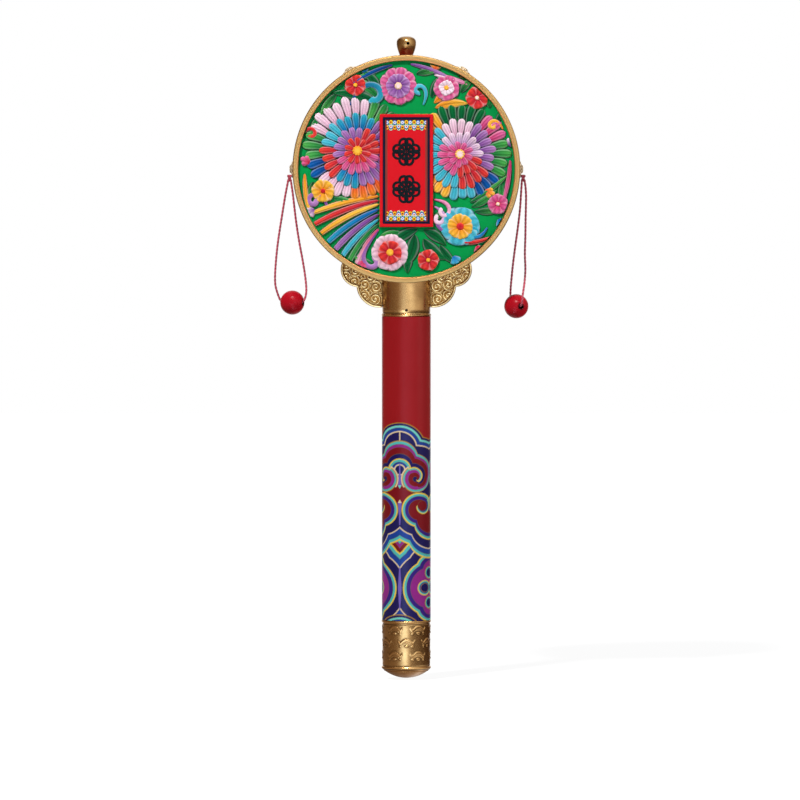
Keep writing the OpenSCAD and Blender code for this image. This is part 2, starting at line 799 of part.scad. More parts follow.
module boss_right() {
    color("#a8763a")
    difference() {
        boss(0);
        cord_seat(1);
    }
}

module boss_upper_left() {
    color("#a8763a")
        boss(120);
}

module boss_upper_right() {
    color("#a8763a")
        boss(60);
}

// The cord's tail through the shell, with the stopper knot that bears on the shell inside
module anchor_knot(side) {
    wall = sqrt(shell_inner_r * shell_inner_r - pivot_down * pivot_down);
    sink = sqrt(knot_r * knot_r - cord_hole_r * cord_hole_r);
    knot_x = wall - sink - fit_gap;
    color("#aa3c50")
    difference() {
        union() {
            translate([side * knot_x, 0, pivot_z])
                sphere(r = knot_r, $fn = 48);
            translate([side * knot_x, 0, pivot_z])
                rotate([0, 90 * side, 0])
                    cylinder(r = cord_r, h = pivot_out - knot_x - knot_r / 2, $fn = 32);
        }
        translate([side * pivot_out, 0, pivot_z])
            sphere(r = knot_r + fit_gap, $fn = 48);
    }
}

module anchor_knot_left() {
    anchor_knot(-1);
}

module anchor_knot_right() {
    anchor_knot(1);
}

module swivel_knot(side) {
    color("#aa3c50")
        translate([side * pivot_out, 0, pivot_z])
            sphere(r = knot_r, $fn = 48);
}

module swivel_knot_left() {
    swivel_knot(-1);
}

module swivel_knot_right() {
    swivel_knot(1);
}

// A cord swept along its route as one closed tube
module cord(route) {
    path = smooth(route, rings_per_span);
    n = len(path);
    color("#aa3c50")
        polyhedron(
            points = tube_points(path, cord_r, cord_sides),
            faces = concat(
                [[for (k = [0 : cord_sides - 1]) k]],
                [[for (k = [cord_sides - 1 : -1 : 0]) (n - 1) * cord_sides + k]],
                [for (i = [0 : n - 2], k = [0 : cord_sides - 1]) let (q = (k + 1) % cord_sides)
                    [i * cord_sides + q, i * cord_sides + k, (i + 1) * cord_sides + k]],
                [for (i = [0 : n - 2], k = [0 : cord_sides - 1]) let (q = (k + 1) % cord_sides)
                    [i * cord_sides + q, (i + 1) * cord_sides + k, (i + 1) * cord_sides + q]]
            )
        );
}

module cord_left() {
    translate([-pivot_out, 0, pivot_z])
        cord(left_route);
}

module cord_right() {
    translate([pivot_out, 0, pivot_z])
        cord(right_route);
}

// A drilled bead whose hole lies along x, countersunk at both mouths
module bead() {
    bead_r = bead_d / 2;
    hole_r = bead_bore_d / 2;
    mouth_at = sqrt(bead_r * bead_r - (hole_r + bead_mouth) * (hole_r + bead_mouth));
    color("#b01824")
    rotate([0, 90, 0])
        rotate_extrude()
            difference() {
                circle(r = bead_r);
                translate([-bead_d, -bead_r])
                    square([bead_d + hole_r, bead_d]);
                for (end = [-1, 1])
                    polygon([
                        [hole_r - overrun, end * (mouth_at - bead_mouth)],
                        [hole_r, end * (mouth_at - bead_mouth)],
                        [hole_r + bead_mouth, end * mouth_at],
                        [hole_r + bead_mouth, end * bead_d],
                        [hole_r - overrun, end * bead_d]
                    ]);
            }
}

module bead_left() {
    translate([-pivot_out, 0, pivot_z] + left_bead_at)
        rotate(left_bead_turn)
            bead();
}

module bead_right() {
    translate([pivot_out, 0, pivot_z] + right_bead_at)
        rotate(right_bead_turn)
            bead();
}

handle_shaft();
end_cap_sleeve();
end_cap_dome();
neck_ferrule();
ferrule_brad();
cloud_bracket_left();
cloud_bracket_right();
drum_shell();
front_skin();
rear_skin();
front_rim();
rear_rim();
front_plaque();
relief_blossoms();
relief_leaves();
relief_tendrils();
finial();
through_rod();
boss_left();
boss_right();
boss_upper_left();
boss_upper_right();
anchor_knot_left();
anchor_knot_right();
swivel_knot_left();
swivel_knot_right();
cord_left();
cord_right();
bead_left();
bead_right();
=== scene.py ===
"""Looks of a pellet drum rattle: a flat drum with a raised floral face on a lacquered handle, and two
beads on cord loops. Everything is in metres on the frame's axes: z up the handle, x to the right, and
the front faces -y."""

import math
import bmesh
import bpy
import numpy as np
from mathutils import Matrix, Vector


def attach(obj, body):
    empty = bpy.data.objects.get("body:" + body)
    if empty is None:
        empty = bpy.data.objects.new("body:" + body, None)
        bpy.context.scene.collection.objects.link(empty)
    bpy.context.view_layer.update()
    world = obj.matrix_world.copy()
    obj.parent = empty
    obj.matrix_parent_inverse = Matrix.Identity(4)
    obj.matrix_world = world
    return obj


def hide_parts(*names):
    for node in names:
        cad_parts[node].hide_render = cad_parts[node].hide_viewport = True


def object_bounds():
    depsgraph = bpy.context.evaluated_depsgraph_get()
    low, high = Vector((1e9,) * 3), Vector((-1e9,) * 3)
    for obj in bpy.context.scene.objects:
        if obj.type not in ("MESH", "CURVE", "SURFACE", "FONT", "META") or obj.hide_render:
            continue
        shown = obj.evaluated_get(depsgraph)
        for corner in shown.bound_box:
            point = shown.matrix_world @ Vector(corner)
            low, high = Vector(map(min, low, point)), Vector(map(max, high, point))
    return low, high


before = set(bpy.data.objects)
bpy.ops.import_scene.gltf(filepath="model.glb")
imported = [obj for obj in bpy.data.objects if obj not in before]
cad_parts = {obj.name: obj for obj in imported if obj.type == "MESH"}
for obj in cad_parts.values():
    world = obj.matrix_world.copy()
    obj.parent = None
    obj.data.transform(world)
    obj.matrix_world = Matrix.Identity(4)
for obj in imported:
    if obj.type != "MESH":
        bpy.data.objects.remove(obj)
cad_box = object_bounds()

# Camera
# A long lens level with the middle of the drum, tipped a little down the handle.
# The picture is 800 x 800, and 0.442 mm on the handle is one pixel.
drum_z = 0.1322
camera_far = 2.76
camera_side = -0.0028
aim_z = 0.0301
sensor_width = 36
picture_size = 0.3536
lens_data = bpy.data.cameras.new("studio_camera")
lens_data.sensor_width = sensor_width
lens_data.lens = sensor_width * camera_far / picture_size
lens_data.clip_end = 20
camera = bpy.data.objects.new("studio_camera", lens_data)
bpy.context.collection.objects.link(camera)
camera.location = (camera_side, -camera_far, drum_z)
aim = Vector((camera_side, 0, aim_z)) - camera.location
camera.rotation_euler = aim.to_track_quat("-Z", "Y").to_euler()
bpy.context.scene.camera = camera
bpy.context.scene.view_settings.view_transform = "Standard"

# Studio
# A pale floor just under the end cap, a white surround, and soft lamps from the upper left and the right.
# A curved reflector, bright in front and darker round the sides, and a small soft box high up are seen
# only in gloss, and give the brass its contrast.


def cells(points, tint, around=False):
    """A grid of points as vertices, colours and four-sided faces: cell (i, j) joins rows i and i + 1 and
    columns j and j + 1. Where the grid goes around, the last column joins the first."""
    rows, columns = points.shape[:2]
    number = np.arange(rows * columns).reshape(rows, columns)
    if around:
        number = np.concatenate([number, number[:, :1]], axis=1)
    faces = np.stack([number[:-1, :-1], number[:-1, 1:], number[1:, 1:], number[1:, :-1]], axis=-1)
    colours = np.broadcast_to(np.asarray(tint, float), points.shape)
    return points.reshape(-1, 3), colours.reshape(-1, 3), faces.reshape(-1, 4)


def coloured_mesh(name, points, colours, faces):
    """A mesh of four-sided faces, with the colours of its points in the attribute 'tint'."""
    mesh = bpy.data.meshes.new(name)
    mesh.vertices.add(len(points))
    mesh.vertices.foreach_set("co", points.astype(np.float32).ravel())
    mesh.loops.add(faces.size)
    mesh.loops.foreach_set("vertex_index", faces.astype(np.int32).ravel())
    mesh.polygons.add(len(faces))
    mesh.polygons.foreach_set("loop_start", np.arange(0, faces.size, 4, dtype=np.int32))
    mesh.update(calc_edges=True)
    opaque = np.insert(colours, 3, 1, axis=1)
    layer = mesh.attributes.new("tint", "FLOAT_COLOR", "POINT")
    layer.data.foreach_set("color", opaque.astype(np.float32).ravel())
    mesh.validate()
    return mesh


def put_in_scene(name, data):
    """A new object for a mesh or a lamp, in the scene's collection."""
    made = bpy.data.objects.new(name, data)
    bpy.context.collection.objects.link(made)
    return made


def feed(tree, node, inputs):
    """Sets a node's inputs by name or number: a socket of another node is linked, and a value is set."""
    for key, value in inputs.items():
        if isinstance(value, bpy.types.NodeSocket):
            tree.links.new(value, node.inputs[key])
        else:
            node.inputs[key].default_value = value


def add_node(tree, kind, inputs, operation=None):
    """A new shader node of a kind, with its operation if it has one, and its inputs."""
    node = tree.nodes.new("ShaderNode" + kind)
    if operation:
        node.operation = operation
    feed(tree, node, inputs)
    return node


def new_material(name):
    """A material and its empty node tree."""
    material = bpy.data.materials.new(name)
    material.use_nodes = True
    material.node_tree.nodes.clear()
    return material, material.node_tree


def stage_sheet(name, points, colours, faces, material):
    """A sheet that belongs to the stage and not to the rattle."""
    sheet = put_in_scene(name, coloured_mesh(name, points, colours, faces))
    sheet.data.materials.append(material)
    return sheet


def seen_directly(tree):
    """1 for camera, glossy and transmission rays and 0 for the rest: the largest of the three."""
    rays = add_node(tree, "LightPath", {}).outputs
    clear = add_node(tree, "Math", {0: rays["Is Camera Ray"], 1: rays["Is Glossy Ray"]}, "MAXIMUM")
    return add_node(tree, "Math", {0: clear.outputs[0], 1: rays["Is Transmission Ray"]}, "MAXIMUM").outputs[0]


world = bpy.data.worlds.new("white_surround")
world.use_nodes = True
bpy.context.scene.world = world
tree = world.node_tree
tree.nodes.clear()
soft = add_node(tree, "Background", {"Color": (0.97, 0.98, 1, 1), "Strength": 0.24})
bright = add_node(tree, "Background", {"Color": (1, 1, 1, 1), "Strength": 1})
surround = add_node(tree, "MixShader", {0: seen_directly(tree), 1: soft.outputs[0], 2: bright.outputs[0]})
add_node(tree, "OutputWorld", {"Surface": surround.outputs[0]})

# The floor's glow rises a little with the distance from the rattle, so that no horizon shows
floor_z = cad_box[0][2] - 0.0006
floor_half = 3
floor_white, tree = new_material("studio_floor")
matt = add_node(tree, "BsdfDiffuse", {"Color": (0.32, 0.32, 0.32, 1)})
place = add_node(tree, "TexCoord", {})
distance = add_node(tree, "VectorMath", {0: place.outputs["Object"]}, "LENGTH")
rise = add_node(tree, "MapRange", {
    "Value": distance.outputs["Value"], "From Min": 0.1, "From Max": 2.2, "To Min": 1.82, "To Max": 1.98})
glow = add_node(tree, "Emission", {"Strength": rise.outputs["Result"]})
share = add_node(tree, "Math", {0: seen_directly(tree), 1: 0.5}, "MULTIPLY")
mixed = add_node(tree, "MixShader", {0: share.outputs[0], 1: matt.outputs[0], 2: glow.outputs[0]})
add_node(tree, "OutputMaterial", {"Surface": mixed.outputs[0]})
across, back = np.meshgrid([-floor_half, floor_half], [-floor_half, floor_half])
corners = np.stack([across, back, np.full((2, 2), floor_z)], axis=-1)
stage_sheet("studio_floor", *cells(corners, (1, 1, 1)), floor_white)

# The reflector: how bright its wall, its foot on the floor and the ring under the cap are, by the angle
# in degrees from the front to the right
wall_light = [
    (-150, 0.04), (-110, 0.13), (-55, 0.26), (-23, 0.36), (-4, 0.55), (12, 2.0), (20, 2.5), (28, 2.3),
    (44, 1.4), (62, 1.1), (84, 0.7), (125, 0.3), (150, 0.05)]
foot_light = [
    (-150, 0.28), (-113, 0.28), (-60, 0.3), (-42, 0.42), (-30, 1.2), (-18, 4.6), (-2, 4.8), (9, 1.6),
    (20, 0.3), (40, 0.12), (84, 0.06), (124, 0.05), (150, 0.05)]
under_light = [(-150, 0.25), (-60, 0.35), (-10, 0.5), (30, 0.9), (56, 1.7), (80, 1.0), (150, 0.2)]
reflector_z = floor_z + 0.0003
reflector_rings = [
    (0.001, reflector_z, under_light), (0.03, reflector_z, under_light), (0.05, reflector_z, foot_light),
    (1.3, reflector_z, foot_light), (1.4, reflector_z + 0.08, wall_light), (1.4, 2.2, wall_light)]
turns = np.linspace(-150, 150, 121)
ring = np.stack([np.sin(np.radians(turns)), -np.cos(np.radians(turns)), np.zeros(len(turns))], axis=1)
points = np.stack([ring * radius + [0, 0, z] for radius, z, table in reflector_rings])
value = np.stack([np.interp(turns, *zip(*table)) for radius, z, table in reflector_rings])
warm = np.stack([value ** 0.8, value, value ** 1.2], axis=-1)
reflector_light, tree = new_material("reflector")
tint = add_node(tree, "Attribute", {})
tint.attribute_name = "tint"
light = add_node(tree, "Emission", {"Color": tint.outputs["Color"]})
add_node(tree, "OutputMaterial", {"Surface": light.outputs[0]})
reflector = stage_sheet("reflector", *cells(points, warm), reflector_light)

soft_box_strength = 90
soft_box_light, tree = new_material("soft_box")
light = add_node(tree, "Emission", {"Strength": soft_box_strength})
add_node(tree, "OutputMaterial", {"Surface": light.outputs[0]})
corners = np.array([[(-0.16, -1.25, 1.35), (0.16, -1.25, 1.35)], [(-0.16, -1.05, 1.6), (0.16, -1.05, 1.6)]])
soft_box = stage_sheet("soft_box", *cells(corners, (1, 1, 1)), soft_box_light)
for sheet in (reflector, soft_box):
    sheet.visible_camera = False
    sheet.visible_diffuse = False
    sheet.visible_shadow = False
    sheet.visible_transmission = False
    sheet.visible_volume_scatter = False


def lamp(name, place, size, watts):
    """A soft square lamp aimed at the rattle's neck, and left out of gloss."""
    data = bpy.data.lights.new(name, "AREA")
    data.shape = "SQUARE"
    data.size = size
    data.energy = watts
    lamp_object = put_in_scene(name, data)
    lamp_object.location = place
    towards = Vector((0, 0, 0.07)) - Vector(place)
    lamp_object.rotation_euler = towards.to_track_quat("-Z", "Y").to_euler()
    lamp_object.visible_glossy = False


lamp("key_lamp", (-0.8, -1.15, 1.66), 0.2, 46)
lamp("fill_lamp", (1.65, -0.62, 0.25), 0.8, 17)

# Cord loops
# Two loops of red two-strand silk cord, 1 mm thick. Each hangs from a knot in a side boss,
# goes down, through its bead and back up to the knot.


def srgb(red, green, blue):
    """A colour of 0 to 255 as it is seen, turned into the linear values that shaders take."""
    c = np.array([red, green, blue], float) / 255
    return np.where(c <= 0.04045, c / 12.92, ((c + 0.055) / 1.055) ** 2.4)


def piece(name, grids, material, body, weld=1e-7):
    """One object from several grids, welded where they meet, with its faces outward and smooth."""
    starts = np.cumsum([0] + [len(points) for points, colours, faces in grids[:-1]])
    vertices = np.concatenate([points for points, colours, faces in grids])
    tints = np.concatenate([colours for points, colours, faces in grids])
    quads = np.concatenate([faces + start for (points, colours, faces), start in zip(grids, starts)])
    mesh = coloured_mesh(name, vertices, tints, quads)
    shape = bmesh.new()
    shape.from_mesh(mesh)
    bmesh.ops.remove_doubles(shape, verts=shape.verts, dist=weld)
    bmesh.ops.recalc_face_normals(shape, faces=shape.faces)
    shape.to_mesh(mesh)
    shape.free()
    mesh.polygons.foreach_set("use_smooth", np.ones(len(mesh.polygons), bool))
    mesh.update()
    mesh.materials.append(material)
    made = put_in_scene(name, mesh)
    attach(made, body)
    return made


def make_unevenness():
    """Node group: cloudy changes of colour and roughness, and fine grain as a height, from noise on Object
    coordinates. In the clouds the colour turns to brown and the roughness grows, each by its own amount."""
    group = bpy.data.node_groups.new("unevenness", "ShaderNodeTree")
    face = group.interface
    face.new_socket("Color", in_out="INPUT", socket_type="NodeSocketColor")
    for name in ("Cloud size", "Grain size", "Darkening", "Roughness", "Roughness change"):
        face.new_socket(name, in_out="INPUT", socket_type="NodeSocketFloat")
    for name, kind in (("Color", "Color"), ("Roughness", "Float"), ("Height", "Float")):
        face.new_socket(name, in_out="OUTPUT", socket_type="NodeSocket" + kind)
    given = group.nodes.new("NodeGroupInput").outputs
    place = add_node(group, "TexCoord", {}).outputs["Object"]
    cloud = add_node(group, "TexNoise", {"Vector": place, "Scale": given["Cloud size"], "Detail": 4})
    grain = add_node(group, "TexNoise", {"Vector": place, "Scale": given["Grain size"], "Detail": 3})
    cloudy = add_node(group, "MapRange", {"Value": cloud.outputs["Fac"], "From Min": 0.35, "From Max": 0.65})
    cloudy = cloudy.outputs["Result"]
    amount = add_node(group, "Math", {0: cloudy, 1: given["Darkening"]}, "MULTIPLY")
    rougher = {0: cloudy, 1: given["Roughness change"], 2: given["Roughness"]}
    rougher = add_node(group, "Math", rougher, "MULTIPLY_ADD")
    browner = group.nodes.new("ShaderNodeMix")
    browner.data_type = "RGBA"
    browner.blend_type = "MULTIPLY"
    feed(group, browner, {"Factor": amount.outputs[0], "A": given["Color"], "B": (0.42, 0.36, 0.3, 1)})
    feed(group, group.nodes.new("NodeGroupOutput"), {
        "Color": browner.outputs["Result"], "Roughness": rougher.outputs[0], "Height": grain.outputs["Fac"]})
    return group


unevenness = make_unevenness()


def finish(name, colour=None, darkening=0.2, cloud=60, grain=900, roughness=0.4, change=0.1, bump=0.00002,
           metal=0, specular=0.5, sheen=0):
    """A material whose colour is one value or, without one, the piece's own tint, made uneven by the
    shared group."""
    material, tree = new_material(name)
    uneven = tree.nodes.new("ShaderNodeGroup")
    uneven.node_tree = unevenness
    if colour is None:
        own_tint = add_node(tree, "Attribute", {})
        own_tint.attribute_name = "tint"
        colour = own_tint.outputs["Color"]
    else:
        colour = (*colour, 1)
    feed(tree, uneven, {
        "Color": colour, "Cloud size": cloud, "Grain size": grain, "Darkening": darkening,
        "Roughness": roughness, "Roughness change": change})
    raised = add_node(tree, "Bump", {"Distance": bump, "Strength": 1, "Height": uneven.outputs["Height"]})
    shader = add_node(tree, "BsdfPrincipled", {
        "Base Color": uneven.outputs["Color"], "Roughness": uneven.outputs["Roughness"],
        "Normal": raised.outputs["Normal"], "Metallic": metal, "Specular IOR Level": specular,
        "Sheen Weight": sheen})
    add_node(tree, "OutputMaterial", {"Surface": shader.outputs[0]})
    return material


def distances(line):
    """How far along a line each of its points is."""
    return np.concatenate([[0], np.cumsum(np.linalg.norm(np.diff(line, axis=0), axis=1))])


def curve_through(points, step, soften):
    """A smooth line through the points at even steps: Catmull-Rom spans, then a bell-shaped running average
    of the given width."""
    p = np.asarray(points, float)
    ends = np.concatenate([[2 * p[0] - p[1]], p, [2 * p[-1] - p[-2]]])
    t = np.linspace(0, 1, 24, endpoint=False)[None, :, None]
    a, b, c, d = (ends[i:len(p) - 1 + i, None, :] for i in range(4))
    line = 2 * b + (c - a) * t + (2 * a - 5 * b + 4 * c - d) * t ** 2 + (3 * b - a - 3 * c + d) * t ** 3
    line = np.concatenate([line.reshape(-1, 3) / 2, p[-1:]])

    def even(line):
        far = distances(line)
        at = np.linspace(0, far[-1], max(2, int(round(far[-1] / step)) + 1))
        return np.stack([np.interp(at, far, line[:, k]) for k in range(3)], axis=1)

    line = even(line)
    reach = int(3 * soften / step)
    bell = np.exp(-0.5 * (np.arange(-reach, reach + 1) * step / soften) ** 2)
    bell /= bell.sum()
    wide = np.concatenate([2 * line[0] - line[reach:0:-1], line, 2 * line[-1] - line[-2:-reach - 2:-1]])
    return even(np.stack([np.convolve(wide[:, k], bell, mode="valid") for k in range(3)], axis=1))


def twisted_tube(line, radius, strands, pitch, across, sides=18):
    """A rope round a line: at angle u and distance s its radius is smaller between strands, which turn once
    in each pitch, and its colour is darker there as painted shade."""
    ahead = np.gradient(line, axis=0)
    ahead /= np.linalg.norm(ahead, axis=1)[:, None]
    side = np.asarray(across, float) - ahead * (ahead @ np.asarray(across, float))[:, None]
    side /= np.linalg.norm(side, axis=1)[:, None]
    up = np.cross(ahead, side)
    s = distances(line)[:, None]
    u = np.linspace(0, 2 * np.pi, sides, endpoint=False)[None, :]
    lay = np.abs(np.cos(strands / 2 * (u - 2 * np.pi * s / pitch)))
    r = (radius * (0.68 + 0.32 * lay ** 0.7))[..., None]
    points = line[:, None] + r * (np.cos(u)[..., None] * side[:, None] + np.sin(u)[..., None] * up[:, None])
    # Painted shade: the colour darkens between the strands
    tint = cord_shade + (cord_red - cord_shade) * (lay ** 0.8)[..., None]
    ends = [np.repeat(line[i][None, None], sides, axis=1) for i in (0, -1)]
    points = np.concatenate([ends[0], points, ends[1]])
    tint = np.concatenate([tint[:1], tint, tint[-1:]])
    return cells(points, tint, around=True)


silk = finish("silk_cord", darkening=0.15, cloud=400, grain=6000, roughness=0.55, bump=0.00001, sheen=0.3)
cord_red = srgb(204, 72, 94)
cord_shade = srgb(136, 30, 50)
cord_radius = 0.0005
cord_pitch = 0.0034
route_step = 0.00022
route_softness = 0.0006
knot_pitch = 0.0026
knot_lean = (0.1, 0.97, 0.2)
swivel_size = np.array([0.00026, 0.0003, 0.00026])
swivel_strand = 0.00042
gather_size = np.array([0.0002, 0.00022, 0.00017])
gather_strand = 0.00036
gather_drop = np.array([0, 0, 0.00135])
pivot = np.array([0.0516008, 0, 0.1287992])

# The routes in millimetres from the knot: down the left strand, through the bead and up the right strand
left_route = [
    [-0.55, 0, -1.35], [-0.9, 0, -3.2], [-2, 0, -9], [-3.3, 0, -17], [-4.5, 0, -24.5], [-5.4, 0, -31],
    [-6, 0, -37], [-6.4, 0.2, -43], [-6.35, 0.9, -47.6], [-5.6, 1.5, -50.8], [-4.7, 1.9, -53.4],
    [-3.95, 1.85, -54.8], [-2.7, 1.45, -55.55], [1.2, 0, -55.8], [5.1, -1.45, -55.55], [6.3, -1.85, -54.8],
    [6.95, -2, -53.4], [7.35, -1.8, -51.4], [7.4, -1.2, -48.8], [6.85, -0.3, -43.6], [5.7, 0, -36.5],
    [4.4, 0, -29.5], [3.2, 0, -22], [2.3, 0, -15], [1.5, 0, -8], [0.9, 0, -3.8], [0.55, 0, -1.35]]
right_route = [
    [-0.55, 0, -1.35], [-0.8, 0, -5.5], [-1.4, 0, -14.5], [-2.4, 0, -23], [-3.5, 0, -31], [-4.5, 0.7, -39],
    [-5.1, 2.5, -45.4], [-5.4, 4.4, -49.2], [-5.5, 5.7, -52.4], [-5.5, 6.05, -54.4], [-5.38, 5.65, -55.6],
    [-5.1, 4.97, -56.4], [-4.75, 4.14, -56.95], [-3, 0, -57.35], [-1.25, -4.14, -56.95], [-0.9, -4.97, -56.4],
    [-0.62, -5.65, -55.6], [-0.46, -6.05, -54.4], [-0.3, -5.8, -52.4], [0.2, -4.6, -49.2], [0.7, -2.7, -45.4],
    [1, -0.9, -40.5], [0.8, 0, -34], [1, 0, -26.5], [1.1, 0, -19], [1.3, 0, -9], [1, 0, -4], [0.55, 0, -1.35]]

# The swivel knot in the boss's cup and the knot that gathers the loop under it are the same cord, drawn up
# in three lobes: a trefoil
t = np.linspace(0, 2 * np.pi, 121)
trefoil = np.stack([np.sin(t) + 2 * np.sin(2 * t), -np.sin(3 * t), np.cos(t) - 2 * np.cos(2 * t)], axis=1)
for side, sign, route, across in (
        ("left", -1, left_route, (0.3, 0.95, 0.05)), ("right", 1, right_route, (0.92, 0.39, 0.02))):
    hang = pivot * [sign, 1, 1]
    line = curve_through(np.array(route) * 0.001 + hang, route_step, route_softness)
    rope = twisted_tube(line, cord_radius, 2, cord_pitch, across)
    loop = piece("cord_loop_" + side, [rope], silk, side + "_pellet")
    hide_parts("cord_" + side)

    rope = twisted_tube(trefoil * swivel_size + hang, swivel_strand, 3, knot_pitch, knot_lean, 12)
    swivel = piece("swivel_" + side, [rope], silk, side + "_knot")
    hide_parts("swivel_knot_" + side)
    gathered = trefoil * gather_size + hang - gather_drop
    rope = twisted_tube(gathered, gather_strand, 3, knot_pitch, knot_lean, 12)
    gather = piece("loop_knot_" + side, [rope], silk, side + "_pellet")

# Handle
# A turned wooden shaft under red lacquer. Its lower part carries a printed ground of traditional
# cloud bands, which repeats twice round it, and the whole is varnished over.
handle_radius = 0.0108
grip_half = 0.0671
# The print's unit is 0.442 mm. Its clouds are mirrored about their middles, and a half is 31.75 units wide,
# so they repeat twice round the handle. Its place is the height of its top and how far it is turned.
print_unit = 0.000442
print_round = handle_radius / print_unit
print_top = 0.02055
print_turn = -6.6
print_half = 31.75
print_blur = 0.45
red_ground = srgb(148, 16, 22)
navy = srgb(22, 12, 84)
deep_navy = srgb(25, 19, 80)
cloud_blue = srgb(22, 60, 142)
aqua = srgb(110, 205, 195)
teal = srgb(75, 180, 176)
cream = srgb(224, 198, 158)
ochre = srgb(176, 132, 34)
yellow = srgb(228, 192, 62)
magenta = srgb(140, 36, 128)
dark_red = srgb(118, 8, 20)
purple = srgb(52, 26, 122)
lilac_line = srgb(112, 92, 178)
thin_line = srgb(96, 78, 40)

# Bands of colour, each with the depth at which it starts
arch_bands = [
    (0, ochre), (0.8, navy), (2.6, thin_line), (3.0, aqua), (4.9, thin_line), (5.3, cloud_blue), (8.4, cream),
    (9.6, deep_navy)]
head_bands = [
    (0, ochre), (0.055, teal), (0.19, thin_line), (0.21, magenta), (0.36, thin_line), (0.38, dark_red),
    (0.71, thin_line), (0.735, navy)]
scroll_bands = [
    (0, ochre), (0.07, teal), (0.19, thin_line), (0.21, magenta), (0.44, thin_line), (0.46, dark_red),
    (0.78, thin_line), (0.8, navy)]
heart_bands = [(0, yellow), (1.1, teal), (3.3, thin_line), (3.7, cloud_blue), (5.7, cream), (6.9, deep_navy)]
outer_ring_bands = [
    (-18.6, yellow), (-17.2, teal), (-14.6, thin_line), (-14.2, cloud_blue), (-9.2, cream), (-8.1, deep_navy)]
inner_ring_bands = [
    (-0.1, yellow), (1.2, teal), (3.2, thin_line), (3.6, purple), (6.6, thin_line), (7.0, dark_red)]
lower_bands = [
    (-27.9, cream), (-27.0, teal), (-25.3, thin_line), (-25.0, magenta), (-22.6, thin_line),
    (-22.3, dark_red), (-19.0, yellow), (-17.6, teal), (-14.6, thin_line), (-14.2, cloud_blue),
    (-9.4, cream), (-8.3, deep_navy), (-0.1, yellow), (1.2, teal), (3.3, thin_line), (3.7, purple),
    (7.2, thin_line), (7.6, magenta)]
disc_bands = [(0, yellow), (0.9, teal), (2.1, purple), (3.0, ochre), (3.4, navy)]
eye_bands = [(0, ochre), (0.9, teal), (2.2, navy)]
curl_bands = [(0, yellow), (0.9, teal), (2.0, thin_line), (2.3, purple)]

# The scroll's edge as it winds in: turn in degrees from upper left, and distance from its heart
scroll_turn = [0, 35, 78, 125, 170, 215, 305, 360, 395, 440, 485, 530, 560]
scroll_edge = [27.5, 25.6, 21.8, 15.6, 13.8, 13.4, 13.5, 12.8, 11.8, 8.8, 5.9, 4.2, 0]


